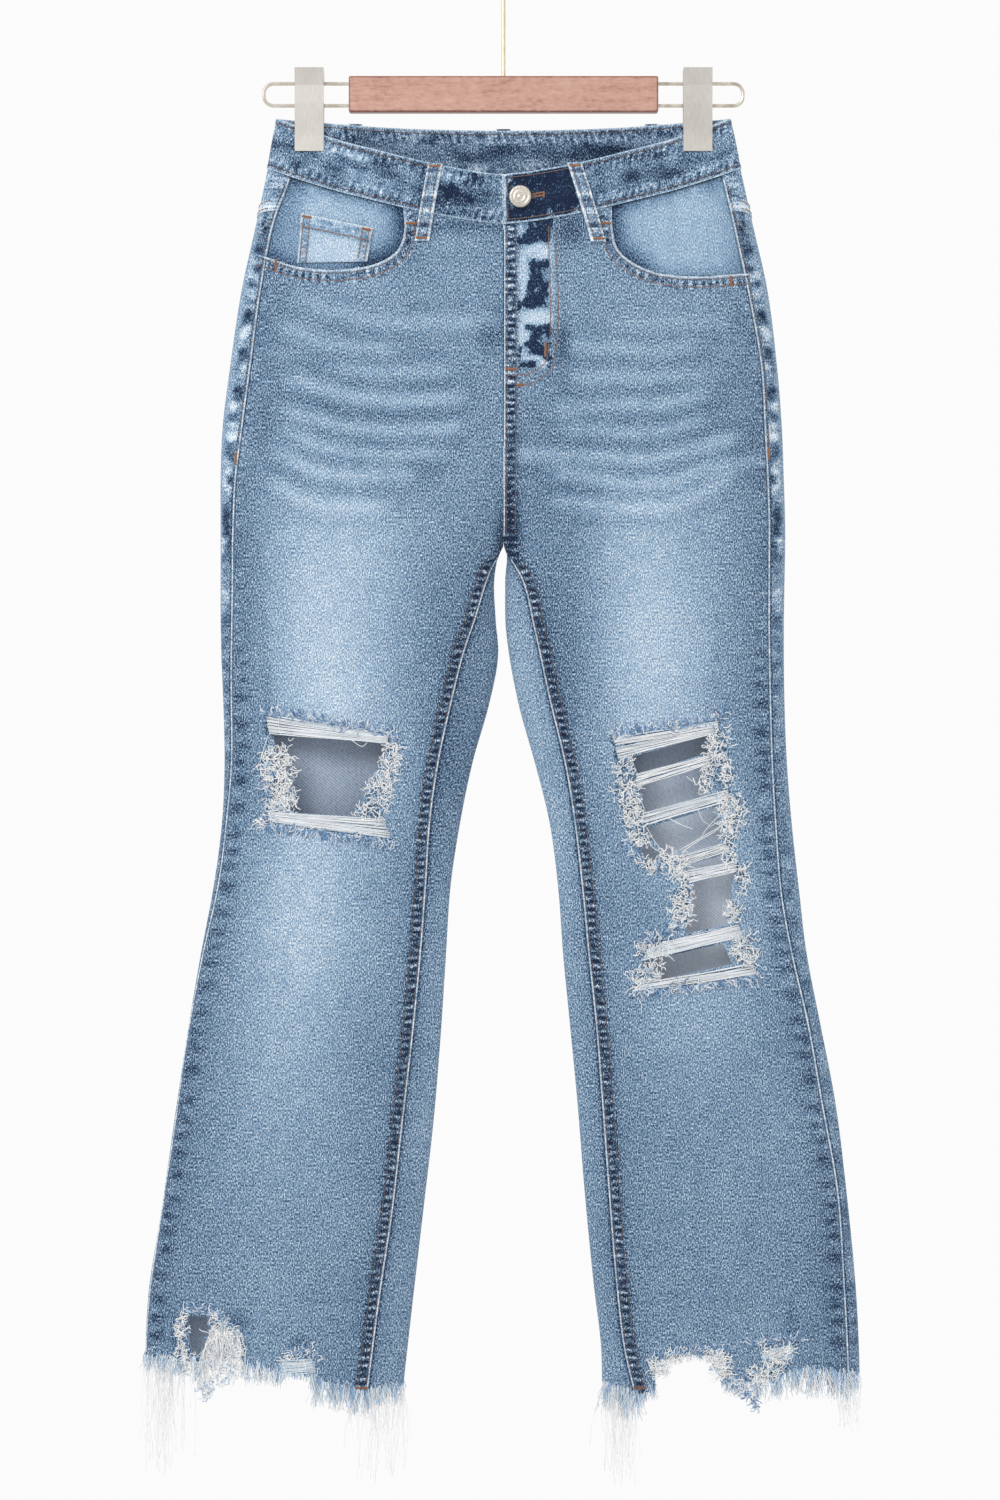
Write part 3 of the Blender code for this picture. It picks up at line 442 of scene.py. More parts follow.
def skin(side, turn, drop, inset=0.0):
    """Points of the cloth, inset from its outer face.

    turn goes round a leg: 0 at the outer fold, pi / 2 in front, pi at the inner fold.
    out = centre + half * cos^(2/n) turn and y = -depth * sin^(2/n) turn, with n the roundness.
    Between the jaws of a clip y is held to the pinched thickness.
    """
    turn, drop = np.broadcast_arrays(turn, drop)
    outer, inner = size(side, "outer", drop), size(side, "inner", drop)
    drops, *depths = np.array(DEPTHS).T
    front, back = (smooth(drop, drops, depth) for depth in depths)
    depth = np.where(np.sin(turn) > 0, front, back) - inset
    out = (outer + inner) / 2 + ((outer - inner) / 2 - inset) * signed_power(
        np.cos(turn), 2 / ROUNDNESS)
    y = -depth * signed_power(np.sin(turn), 2 / ROUNDNESS)
    y = y - np.sign(np.sin(turn)) * folds(side, turn, out, drop)
    grip = falling(np.abs(out - CLIP_CENTRE), 0.017, 0.040) * falling(drop, 0.030, 0.060)
    held = np.sign(y) * np.minimum(np.abs(y), PINCH - inset)
    y = y + (held - y) * grip
    return np.stack([SIDES[side] * out, y, WAIST_Z - drop], axis=-1)


def turn_at(side, out, drop, face="front"):
    """The turn at which a section passes a distance out, on its front or its back."""
    outer, inner = size(side, "outer", drop), size(side, "inner", drop)
    share = np.clip((out - (outer + inner) / 2) / ((outer - inner) / 2), -1.0, 1.0)
    turn = np.arccos(np.clip(signed_power(share, ROUNDNESS / 2), -1.0, 1.0))
    return turn if face == "front" else -turn


def band_line(turn, down):
    """Drop of the waistband's top edge, which dips at the centres, plus a distance down.

    dip = centre * (1 - s^k), with s = cos^(2/n) turn the share of the way to the side fold.
    """
    share = np.abs(np.cos(turn)) ** (2 / ROUNDNESS)
    front, back = (CENTRE_DROP[face] * (1 - share ** DROP_SHAPE[face]) for face in ("front", "back"))
    return np.where(np.sin(turn) > 0, front, back) + down


def seam_line(side, inner, across):
    """Drop of a front piece's top edge, just below the waistband, from inner to the outseam."""
    drop = np.full_like(across, CENTRE_DROP["front"])
    for _ in range(3):
        out = inner + (size(side, "outseam", drop) - inner) * across
        drop = band_line(turn_at(side, out, drop), BAND + GAP)
    return drop


def hem_drop(side, out):
    """Drop of the cut hem, ragged by a few waves of different lengths."""
    waves = (0.0006, 900, 0), (0.0005, 2300, 1), (0.0004, 5100, 0)
    return read(HEMS[side], out) + sum(high * np.sin(out * beat + late) for high, beat, late in waves)


def run_along(path):
    """Distance along a path of points from its first one."""
    return np.concatenate([[0.0], np.cumsum(np.linalg.norm(np.diff(path, axis=0), axis=1))])


def rounded(points, count):
    """A smooth line of count points through a few, by their distance along."""
    points = np.array(points)
    steps = run_along(points)
    at = np.linspace(0.0, steps[-1], count)
    return np.stack([smooth(at, steps, values) for values in points.T], axis=-1)


def mouth_outline(side):
    """Closed outline of what a pocket mouth cuts away."""
    mouth = rounded(POCKET_MOUTHS[side], 40)
    return np.vstack([mouth, (mouth[-1, 0] + 0.02, 0.020), (mouth[0, 0], 0.020)])


def outline_distance(out, drop, outline):
    """Signed distance to a closed outline, below 0 inside, with the nearest point and its run."""
    start = np.asarray(outline)
    edge = np.roll(start, -1, axis=0) - start
    length = np.hypot(edge[:, 0], edge[:, 1])
    here = np.stack([out, drop], axis=-1)[..., None, :]
    share = np.clip(((here - start) * edge).sum(-1) / length**2, 0.0, 1.0)
    near = start + share[..., None] * edge
    away = np.linalg.norm(here - near, axis=-1)
    pick = away.argmin(-1)[..., None]
    nearest = np.take_along_axis(near, pick[..., None], axis=-2)[..., 0, :]
    run = np.concatenate([[0.0], np.cumsum(length)[:-1]]) + share * length
    spans = (start[:, 1] > here[..., 1]) != ((start + edge)[:, 1] > here[..., 1])
    rise = np.where(edge[:, 1] == 0, 1e-9, edge[:, 1])
    crossing = here[..., 0] < start[:, 0] + (here[..., 1] - start[:, 1]) / rise * edge[:, 0]
    inside = (spans & crossing).sum(-1) % 2 == 1
    distance = np.take_along_axis(away, pick, axis=-1)[..., 0]
    return (np.where(inside, -distance, distance), nearest,
            np.take_along_axis(run, pick, axis=-1)[..., 0])


def snap(out, drop, outline, reach=0.0015):
    """Moves grid points within reach of an outline onto it, so that the cut edge is clean."""
    distance, nearest, _ = outline_distance(out, drop, outline)
    close = np.abs(distance) < reach
    return (np.where(close, nearest[..., 0], out), np.where(close, nearest[..., 1], drop),
            np.where(close, 0.0, distance))


def grid_faces(rows, columns, distance=None, turned=False):
    """Faces over a grid of points: its cells, or triangles without those inside an outline.

    Then each cell is cut along the diagonal whose ends lie nearer to the outline.
    turned reverses them, for a grid that runs the other way round.
    """
    index = np.arange(rows * columns).reshape(rows, columns)
    a, b, c, d = (part.ravel() for part in (index[:-1, :-1], index[:-1, 1:], index[1:, 1:],
                                            index[1:, :-1]))
    faces = np.stack([a, b, c, d], axis=-1)
    if distance is not None:
        off = np.abs(distance.ravel())
        first = (off[a] + off[c] <= off[b] + off[d])[:, None]
        one = np.where(first, np.stack([a, b, c], -1), np.stack([a, b, d], -1))
        two = np.where(first, np.stack([a, c, d], -1), np.stack([b, c, d], -1))
        faces = np.concatenate([one, two])
        faces = faces[distance.ravel()[faces].mean(-1) > 1e-7]
    return faces[:, ::-1] if turned else faces


def new_object(name, data):
    """An object of the scene that holds the data."""
    made = bpy.data.objects.new(name, data)
    bpy.context.scene.collection.objects.link(made)
    return made


def new_piece(name, points, faces, materials):
    """A mesh piece at the origin that rides on the one body."""
    mesh = bpy.data.meshes.new(name)
    mesh.from_pydata(points.reshape(-1, 3).tolist(), [], faces.tolist())
    mesh.validate()
    for material in materials:
        mesh.materials.append(material)
    mesh.shade_smooth()
    made = new_object(name, mesh)
    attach(made, "root")
    return made


def paint(piece, across, down, **values):
    """Stores cloth coordinates in metres as the UV map, and one float a point for each value.

    A piece with two layers of points takes the same values for both.  Each piece starts at its
    own distance across, so that no two are cut from the same place in the cloth.
    """
    mesh = piece.data
    layers = len(mesh.vertices) // np.size(across)
    place = np.tile(np.stack([np.ravel(across), np.ravel(down)], axis=-1), (layers, 1))
    corner = np.empty(len(mesh.loops), dtype=np.int32)
    mesh.loops.foreach_get("vertex_index", corner)
    mesh.uv_layers.new(name="cloth").data.foreach_set("uv", place[corner].ravel())
    for name, value in values.items():
        numbers = np.tile(np.broadcast_to(value, np.shape(across)).astype(np.float32).ravel(), layers)
        mesh.attributes.new(name, "FLOAT", "POINT").data.foreach_set("value", numbers)


def linear(red, green, blue):
    """A display colour, each channel 0 to 255, as linear light."""
    channels = np.array([red, green, blue]) / 255
    return (*np.where(channels < 0.04045, channels / 12.92, ((channels + 0.055) / 1.055)**2.4), 1.0)


def node(tree, kind, inputs=(), **settings):
    """Adds a shader node; inputs are (socket, value or link) pairs."""
    made = tree.nodes.new("ShaderNode" + kind)
    for name, value in settings.items():
        setattr(made, name, value)
    for socket, value in inputs:
        if isinstance(value, bpy.types.NodeSocket):
            tree.links.new(value, made.inputs[socket])
        else:
            made.inputs[socket].default_value = value
    return made


def start_material(name, roughness, **shader_values):
    """An empty Principled material; returns it, its tree and its shader."""
    material = bpy.data.materials.new(name)
    material.use_nodes = True
    tree = material.node_tree
    shader = tree.nodes["Principled BSDF"]
    shader.inputs["Roughness"].default_value = roughness
    for socket, value in shader_values.items():
        shader.inputs[socket.replace("_", " ")].default_value = value
    return material, tree, shader


def cloth_place(tree):
    """Cloth coordinates in metres."""
    return node(tree, "UVMap", uv_map="cloth").outputs["UV"]


def object_place(tree):
    """Place in the object, in metres."""
    return node(tree, "TexCoord").outputs["Object"]


def painted(tree, name):
    """A value painted on the piece."""
    return node(tree, "Attribute", attribute_name=name).outputs["Fac"]


def mapped(tree, place, **change):
    """Coordinates scaled or turned."""
    return node(tree, "Mapping", [("Vector", place), *change.items()]).outputs[0]


def noise(tree, place, scale, detail=2.0, roughness=0.5, dimensions="3D"):
    """Noise of a place, the same in every direction."""
    return node(tree, "TexNoise", [("Vector", place), ("Scale", scale), ("Detail", detail),
                ("Roughness", roughness)], noise_dimensions=dimensions).outputs["Fac"]


def cloth_noise(tree, place, scale, detail=2.0, roughness=0.6):
    """Noise of cloth coordinates, with its own scale across and down."""
    return noise(tree, mapped(tree, place, Scale=(*scale, 1.0)), 1.0, detail, roughness, "2D")


def twill_lines(tree, place, slant, scale, distortion, detail):
    """The weave's diagonal lines."""
    turned = mapped(tree, place, Rotation=(0, 0, slant))
    return node(tree, "TexWave", [("Vector", turned), ("Scale", scale), ("Distortion", distortion),
                ("Detail", detail)], wave_type="BANDS").outputs["Fac"]


def calc(tree, operation, *values):
    """One step of arithmetic on numbers and links."""
    return node(tree, "Math", enumerate(values), operation=operation).outputs[0]


def weigh(tree, total, *shares):
    """total + (noise - 0.5) * amount over each (noise, amount)."""
    for pattern, amount in shares:
        total = calc(tree, "MULTIPLY_ADD", calc(tree, "SUBTRACT", pattern, 0.5), amount, total)
    return total


def dye(tree, shader, level, stops):
    """Colours the shader by a level, through stops of (level, display colour)."""
    ramp = node(tree, "ValToRGB", [(0, level)])
    while len(ramp.color_ramp.elements) < len(stops):
        ramp.color_ramp.elements.new(0.5)
    for element, (place, colour) in zip(ramp.color_ramp.elements, stops):
        element.position = place
        element.color = linear(*colour)
    tree.links.new(ramp.outputs["Color"], shader.inputs["Base Color"])


def emboss(tree, shader, height, strength, distance):
    """Roughens the shader's surface by a height."""
    bump = node(tree, "Bump", [("Height", height), ("Strength", strength), ("Distance", distance)])
    tree.links.new(bump.outputs[0], shader.inputs["Normal"])


def vary_gloss(tree, shader, level, low, high):
    """Lets the roughness wander from low to high with a level."""
    gloss = node(tree, "MapRange", [("Value", level), ("To Min", low), ("To Max", high)])
    tree.links.new(gloss.outputs[0], shader.inputs["Roughness"])


# Dye from raw indigo at wash level 0 to bare cotton at 1.
INDIGO = ((0.0, (20, 34, 60)), (0.25, (62, 88, 117)), (0.5, (108, 137, 165)),
          (0.7, (143, 171, 196)), (0.9, (186, 204, 219)), (1.0, (232, 238, 243)))


def denim(name, marl=3.1):
    """Right side of washed denim.

    Its wash level is the painted level plus yarn marl, warp streaks, clouds, the rungs beside
    a seam (short pitch) or a felled edge (long pitch), and dark patches with torn outlines.
    """
    material, tree, shader = start_material(
        name, 0.92, Specular_IOR_Level=0.18, Sheen_Weight=0.12, Sheen_Roughness=0.5,
        Sheen_Tint=linear(205, 218, 232))
    place = cloth_place(tree)
    wash, puckering, rung_share, roping, dark, away, run = (
        painted(tree, key) for key in ("wash", "pucker", "rungs", "rope", "dark", "away", "run"))
    yarn = cloth_noise(tree, place, (1150, 600), 3.0, 0.72)
    streak = cloth_noise(tree, place, (1000, 80))
    cloud = cloth_noise(tree, place, (105, 80), 4.0, 0.66)
    drift = cloth_noise(tree, place, (14, 11), 2.0, 0.5)
    contrast = calc(tree, "MULTIPLY_ADD", wash, -marl, 1.4 * marl)
    beside = node(tree, "CombineXYZ", [("X", away), ("Y", run)]).outputs[0]
    pucker = cloth_noise(tree, beside, (150, 260), 1.0, 0.5)
    rungs = node(tree, "TexWave", [("Vector", beside), ("Scale", 57.0), ("Distortion", 3.0),
                 ("Detail", 1.0)], wave_type="BANDS", bands_direction="Y").outputs["Fac"]
    rope = cloth_noise(tree, beside, (60, 85), 1.5, 0.55)
    level = weigh(tree, wash, (yarn, contrast), (streak, 0.16), (cloud, 0.20), (drift, 0.14),
                  (pucker, puckering), (rungs, rung_share), (rope, roping))
    raggedness = calc(tree, "MINIMUM", calc(tree, "MULTIPLY", dark, 8.0), 2.3)
    torn = node(tree, "MapRange", [("Value", weigh(tree, dark, (cloud, raggedness))),
                ("From Min", 0.38), ("From Max", 0.64)], interpolation_type="SMOOTHSTEP")
    dye(tree, shader, calc(tree, "MULTIPLY_ADD", torn.outputs[0], -0.60, level), INDIGO)
    twill = twill_lines(tree, place, 1.1, 190.0, 1.5, 1.0)
    height = weigh(tree, 0.5, (twill, 0.25), (yarn, 0.5), (pucker, puckering), (rope, roping))
    emboss(tree, shader, height, 0.55, 0.0009)
    vary_gloss(tree, shader, yarn, 0.82, 0.98)
    return material


def wrong_side():
    """Inside of the denim: grey-blue twill lines, more white weft than blue warp, moved paler and darker
    by the painted light and shade of the back panels' insides.
    """
    material, tree, shader = start_material("denim_wrong_side", 0.95, Specular_IOR_Level=0.15)
    place = cloth_place(tree)
    twill = twill_lines(tree, place, -0.9, 170.0, 2.0, 2.0)
    yarn = cloth_noise(tree, place, (500, 420), 3.0, 0.7)
    cloud = cloth_noise(tree, place, (30, 22), 2.0, 0.5)
    # Painted light and shade: the inside value painted on the back panels shifts the level.
    worn_and_shaded = calc(tree, "ADD", painted(tree, "inside"), 0.5)
    level = weigh(tree, worn_and_shaded, (twill, 0.24), (yarn, 0.55), (cloud, 0.25))
    dye(tree, shader, level, ((0.0, (96, 114, 142)), (0.5, (184, 198, 216)), (1.0, (244, 248, 252))))
    emboss(tree, shader, level, 0.4, 0.0006)
    return material


def cotton(name, stops, scale, uneven=0.5):
    """Undyed or half-dyed yarn: its colour wanders with a painted tone and a fine noise."""
    material, tree, shader = start_material(name, 0.95, Specular_IOR_Level=0.1,
                                            Sheen_Weight=0.6, Sheen_Roughness=0.5)
    fuzz = noise(tree, object_place(tree), scale)
    dye(tree, shader, weigh(tree, painted(tree, "tone"), (fuzz, uneven)), stops)
    emboss(tree, shader, fuzz, 0.3, 0.0003)
    return material


DENIM = denim("washed_denim")
WRONG_SIDE = wrong_side()
RAW_EDGE = cotton("raw_edge", ((0.0, (150, 172, 194)), (1.0, (228, 234, 240))), 500.0)


def cut_piece(name, stands_for, points, faces, right_side=DENIM, wall=DENIM_WALL):
    """A sheet in place of its solid; its wall lies on the inner side, and its edge is raw."""
    piece = new_piece(name, points, faces, (right_side, WRONG_SIDE, RAW_EDGE))
    solid = piece.modifiers.new("wall", "SOLIDIFY")
    solid.thickness = wall
    solid.offset = -1.0
    solid.material_offset = 1
    solid.material_offset_rim = 2
    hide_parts(stands_for)
    return piece


def ground_level(side, face, out, drop):
    """Wash level: the ground of the leg, plus the faded bell, cut back beyond the thigh's outer crease
    as painted shade, minus the soft dark patches, most of them painted shade, plus whiskers with dark
    between.
    """
    drops, *columns = np.array(FADES[side, face]).T
    centre, half, rise = (smooth(drop, drops, column) for column in columns)
    faded = bell(out, half, centre)
    if face == "front":
        # Painted shade: the fade is cut back beyond the outer crease, where the cloth turns away.
        edge = rising((out - read(SHADED_CREASE_LINE[side], drop)) / 0.009, -0.5, 1.0)
        faded *= 1 - 0.70 * edge * falling(drop, 0.48, 0.12)
    level = read(GROUND, drop) + rise * faded
    if face == "front":
        # Painted shade, with some darker wash: the soft dark patches of the front.
        for shade_out, shade_drop, half_across, half_down, fall in WASH_DARKS_AND_PAINTED_SHADE[side]:
            level -= fall * bell(out, half_across, shade_out) * bell(drop, half_down, shade_drop)
        for strength, line in WHISKERS[side]:
            away = line_distance(out, drop, line)
            level += strength * (0.17 * bell(away, 0.0055) - 0.06 * bell(away, 0.0050, 0.012))
    return level


def seam_blots(side, drop):
    """Strength of the soft dark blots that the outseam's folded cloth leaves at even steps."""
    beat = np.cos(drop * 405 + 1.5 * np.sin(drop * 90) + np.sin(drop * 31) + 2.0 * (side == "r"))
    return (0.5 + 0.5 * beat)**3 * rising(drop, 0.36, 0.08)


def in_band(band, out, drop):
    """1 inside a band of bare weft, 0 outside it."""
    (out_a, top_a), (_, foot_a), (out_b, top_b), (_, foot_b) = band
    share = np.clip((out - out_a) / (out_b - out_a), 0.0, 1.0)
    top = top_a + (top_b - top_a) * share
    foot = foot_a + (foot_b - foot_a) * share
    past = np.maximum(min(out_a, out_b) - out, out - max(out_a, out_b))
    return rising(drop, top, 0.0015) * falling(drop, foot, 0.0015) * falling(past, 0.0, 0.002)


def down_grid(top, hem, rows_above, stop, step, rows_below):
    """Drops of a panel's rows: from its top edge to the hip, level, then easing into the hem."""
    upper = top + (HIP - top) * np.linspace(0.0, 1.0, rows_above)[:-1, None]
    level = np.repeat(np.arange(HIP, stop, step)[:, None], len(top), axis=1)
    lower = LAST_LEVEL + (hem - LAST_LEVEL) * np.linspace(0.0, 1.0, rows_below)[:, None]
    return np.vstack([upper, level, lower])


def front_panel(side):
    """Grid from the centre front and inseam to the outseam, with mouth, rips and arch cut out."""
    ends = np.array([0.0, 0.004, 0.009, 0.015, 0.022, 0.031, 0.041, 0.052, 0.064])
    across = np.concatenate([ends, np.linspace(0.064, 0.936, 76)[1:-1], 1 - ends[::-1]])
    hem_edges = size(side, "inseam", FLARE), size(side, "outseam", FLARE)
    hem = hem_drop(side, hem_edges[0] + (hem_edges[1] - hem_edges[0]) * across)
    drop = down_grid(seam_line(side, 0.0, across), hem, rows_above=36, stop=0.918, step=0.0029,
                     rows_below=13)
    inner_edge = size(side, "inseam", drop) + SEAM_GAP
    outer_edge = size(side, "outseam", drop) - SEAM_GAP
    out = inner_edge + (outer_edge - inner_edge) * across
    mouth = mouth_outline(side)
    cleared = np.full(out.shape, 1.0)
    for outline in (mouth, *RIPS[side], HEM_TEARS[side]):
        out, drop, distance = snap(out, drop, outline)
        cleared = np.where(np.abs(distance) < np.abs(cleared), distance, cleared)

    mouth_away, _, mouth_run = outline_distance(out, drop, mouth)
    at_mouth = (mouth_away < 0.016) & (drop > 0.07)
    inner_away = out - size(side, "inseam", drop)
    outer_away = size(side, "outseam", drop) - out
    below = drop > (FLY_FOOT if side == "l" else INSEAM_START)
    roped = below | (side == "l")
    at_inner = inner_away < outer_away
    away = np.where(at_mouth, mouth_away, np.where(at_inner, inner_away, outer_away))
    run = np.where(at_mouth, mouth_run + 2.0, np.where(at_inner, drop, drop + 1.0))
    ladder = (at_inner & roped) * rising(inner_away, 0.001, 0.0015) * falling(inner_away, 0.0075, 0.003)
    hem_of_mouth = rising(away, 0.002, 0.002) * falling(away, 0.008, 0.003)
    rungs = 0.62 * ladder + 0.30 * at_mouth * hem_of_mouth
    pucker = np.where(at_mouth, 1.2 * hem_of_mouth,
                      np.where(at_inner, np.where(below, 1.3, 2.0) * ladder,
                               0.5 * falling(away, 0.003, 0.006)))
    rope = (0.30 * rising(outer_away, 0.001, 0.002) * falling(outer_away, 0.009, 0.005)
            * rising(drop, 0.38, 0.10))
    level = ground_level(side, "front", out, drop)
    level -= 0.10 * bell(outer_away, 0.022) + 0.07 * bell(inner_away, 0.020)
    level += 0.30 * below * bell(inner_away, 0.0011)
    level -= np.where(below, 0.36, 0.27) * (at_inner & roped) * bell(inner_away, 0.0045, 0.0055)
    level -= 0.36 * seam_blots(side, drop) * bell(outer_away, 0.0058, 0.0060)
    level += (0.38 * bell(mouth_away, 0.0011) - 0.15 * bell(mouth_away, 0.0035, 0.0055)) * at_mouth
    dark = np.zeros_like(out)
    if side == "l":
        placket = falling(np.maximum(out - 0.0370, 1.6 * (drop - 0.1915)), -0.003, 0.006)
        dark = PLACKET_DARK * placket
        for patch_out, patch_drop, half_across, half_down, strength in WASH_PATCHES:
            ring = ((out - patch_out) / half_across)**2 + ((drop - patch_drop) / half_down)**2
            dark += strength * np.exp(-ring**1.5)
        dark *= rising(out, 0.0090, 0.003)
        level += 0.36 * placket * rising(out, 0.0090, 0.003) * (1 - np.clip(1.4 * dark, 0.0, 1.0))

    # Painted shade: under each band of bare weft the cloth is darkened for the shadowed hole behind it.
    for band in WEFT_BANDS[side]:
        bare = in_band(band, out, drop)
        level += (SHADE_UNDER_WEFT - level) * bare
        pucker *= 1 - bare
        rungs *= 1 - bare
    # Painted shade: under fluff the cloth is darkened for the gaps between its strands.
    for _, corners in FLUFF[side]:
        worn_and_shaded = falling(outline_distance(out, drop, metres(corners))[0], -0.002, 0.003)
        level += (SHADE_UNDER_FLUFF - level) * worn_and_shaded
    level += (BEHIND_HEM_WEFT - level) * in_band(HEM_WEFT[side], out, drop)

    raised = MOUTH_HEM * falling(mouth_away, FELLED_WIDTH, 0.002) * at_mouth
    raised += FELLED * falling(inner_away, FELLED_WIDTH, 0.002) * roped
    turn = np.minimum(turn_at(side, out, drop), math.pi - TIP_TURN)
    piece = cut_piece(f"front_denim_{side}", f"front_panel_{side}", skin(side, turn, drop, -raised),
                      grid_faces(*out.shape, cleared, side == "l"))
    paint(piece, SIDES[side] * out, drop, wash=level, pucker=pucker, rungs=rungs, rope=rope,
          dark=dark, away=away, run=run)
    return piece


FRONTS = {side: front_panel(side) for side in SIDES}

# ---------------------------------------------------------------------------------------------
# Yokes and back panels: the same denim, from the outseam round the side fold to the centre back
# and the inseam.  The yoke shapes the seat and is felled to the panel below it.
CROTCH = 0.326                  # above this drop a back piece ends at the centre
YOKE_AT_SIDE = 0.028            # height of the yoke at the outseam
YOKE_AT_BACK = 0.068            # and at the centre back

# Painted light and shade on the inside that shows through the knee rips: its shift from the middle of
# its range at each drop, below 0 darker; and the shift of the strip along the inseam that is seen from
# the front, painted darker on the right leg for the shade that falls there and paler on the left.
INSIDE_PAINTED_SHADING = {"r": ((0.46, -0.14), (0.56, -0.12)), "l": ((0.49, -0.04), (0.57, 0.20))}
INNER_STRIP = {"r": -0.15, "l": 0.08}


def back_turns(side, drop, share):
    """Turns from the outseam round the outer fold and the back to the centre or the inseam."""
    start = turn_at(side, size(side, "outseam", drop) + SEAM_GAP, drop)
    centre_back = np.maximum(turn_at(side, SEAM_GAP, drop, "back"), TIP_TURN - math.pi)
    inseam = turn_at(side, size(side, "inseam", drop) - SEAM_GAP, drop) - 2 * math.pi
    return start + (np.where(drop < CROTCH, centre_back, inseam) - start) * share


def yoke_line(side, share, down):
    """Drop of the yoke's top (down 0) or foot (down 1), which falls towards the centre back."""
    drop = np.full_like(share, 0.06)
    for _ in range(3):
        turn = back_turns(side, drop, share)
        height = YOKE_AT_SIDE + (YOKE_AT_BACK - YOKE_AT_SIDE) * share
        drop = band_line(turn, BAND + down * height)
    return drop


def runs_across(points):
    """Distance along each row of a grid from its first point, and from its last."""
    steps = np.linalg.norm(np.diff(points, axis=1), axis=-1)
    start = np.concatenate([np.zeros((len(points), 1)), np.cumsum(steps, axis=1)], axis=1)
    return start, start[:, -1:] - start


def back_level(side, turn, out, drop, outseam_away, inner_away):
    """Wash level of a back piece: front ground where it wraps forward, darker near its seams."""
    wrapped = read(GROUND, drop) + 0.04
    # Painted shade on the right leg's inner strip seen from the front; on the left it is paler.
    wrapped += (inner_away < 0.04) * bell(drop, 0.12, 0.46) * INNER_STRIP[side]
    level = np.where(np.sin(turn) > 0, wrapped, ground_level(side, "back", out, drop))
    level += 0.06 * falling(drop, 0.30, 0.15) * (outseam_away < 0.02)
    level -= 0.20 * bell(outseam_away, 0.006, 0.0055) * (1 - 0.5 * rising(drop, 0.3, 0.1))
    level -= 0.10 * bell(inner_away, 0.010) + 0.50 * bell(np.minimum(outseam_away, inner_away), 0.0013)
    # A dark line in the outseam's ditch: painted shadow of the ditch, over the darker indigo kept there.
    level -= 0.42 * bell(outseam_away, 0.0008, 0.0022) * rising(drop, 0.25, 0.04)
    level -= 0.26 * seam_blots(side, drop) * bell(outseam_away, 0.005, 0.009) * rising(drop, 0.87, 0.03)
    return level


def outseam_rope(drop, outseam_away):
    """Strength of the felled outseam's puckers: strong to the hip, then weaker down the leg."""
    strength = 2.3 - 1.7 * rising(drop, 0.30, 0.12)
    return strength * rising(outseam_away, 0.0015, 0.003) * falling(outseam_away, 0.009, 0.007)


def puckers(away, reach, width):
    """1 beside a stitched edge, from a millimetre off it to its reach, 0 a width past that."""
    return rising(away, 0.001, 0.002) * falling(away, reach, width)


def back_panel(side):
    """Grid from the outseam to the centre back or inseam, from the yoke to the hem."""
    share = np.concatenate([np.linspace(0.0, 0.018, 8)[:-1], np.linspace(0.018, 0.10, 13)[:-1],
                            np.linspace(0.10, 0.95, 61), np.linspace(0.95, 1.0, 8)[1:]])
    top = yoke_line(side, share, 1.0) + 2 * SEAM_GAP
    hem_turn = back_turns(side, np.full_like(share, FLARE), share)
    hem = hem_drop(side, np.abs(skin(side, hem_turn, FLARE)[..., 0]))
    drop = down_grid(top, hem, rows_above=22, stop=0.916, step=0.0045, rows_below=11)
    turn = back_turns(side, drop, share)
    out = np.abs(skin(side, turn, drop)[..., 0])
    on_back = np.sin(turn) < 0
    torn_out, torn_drop, torn = snap(out, drop, HEM_TEARS[side], 0.0018)
    cleared = np.where(on_back, torn, 1.0)
    drop = np.where(on_back, torn_drop, drop)
    turn = np.where(on_back & (torn == 0.0), turn_at(side, torn_out, drop, "back"), turn)
    outseam_away, inner_away = runs_across(skin(side, turn, drop))
    raised = FELLED * falling(outseam_away, FELLED_WIDTH, 0.002) * (drop < 0.30)
    yoke_away = drop - top
    seam_away = np.minimum(outseam_away, inner_away)
    at_yoke = (yoke_away < 0.012) & (yoke_away < seam_away + 0.004)
    away = np.where(at_yoke, yoke_away, seam_away)
    run = np.where(at_yoke, outseam_away + 3.0,
                   np.where(outseam_away < inner_away, drop + 4.0, drop + 5.0))
    at_centre = (inner_away < outseam_away) & (drop < CROTCH)
    piece = cut_piece(f"back_denim_{side}", f"back_panel_{side}", skin(side, turn, drop, -raised),
                      grid_faces(*out.shape, cleared, side == "l"))
    paint(piece, SIDES[side] * (0.4 + outseam_away), drop,
          wash=back_level(side, turn, out, drop, outseam_away, inner_away),
          pucker=0.8 * (at_yoke | at_centre) * puckers(away, 0.008, 0.004),
          rope=outseam_rope(drop, outseam_away), away=away, run=run,
          inside=read(INSIDE_PAINTED_SHADING[side], drop))


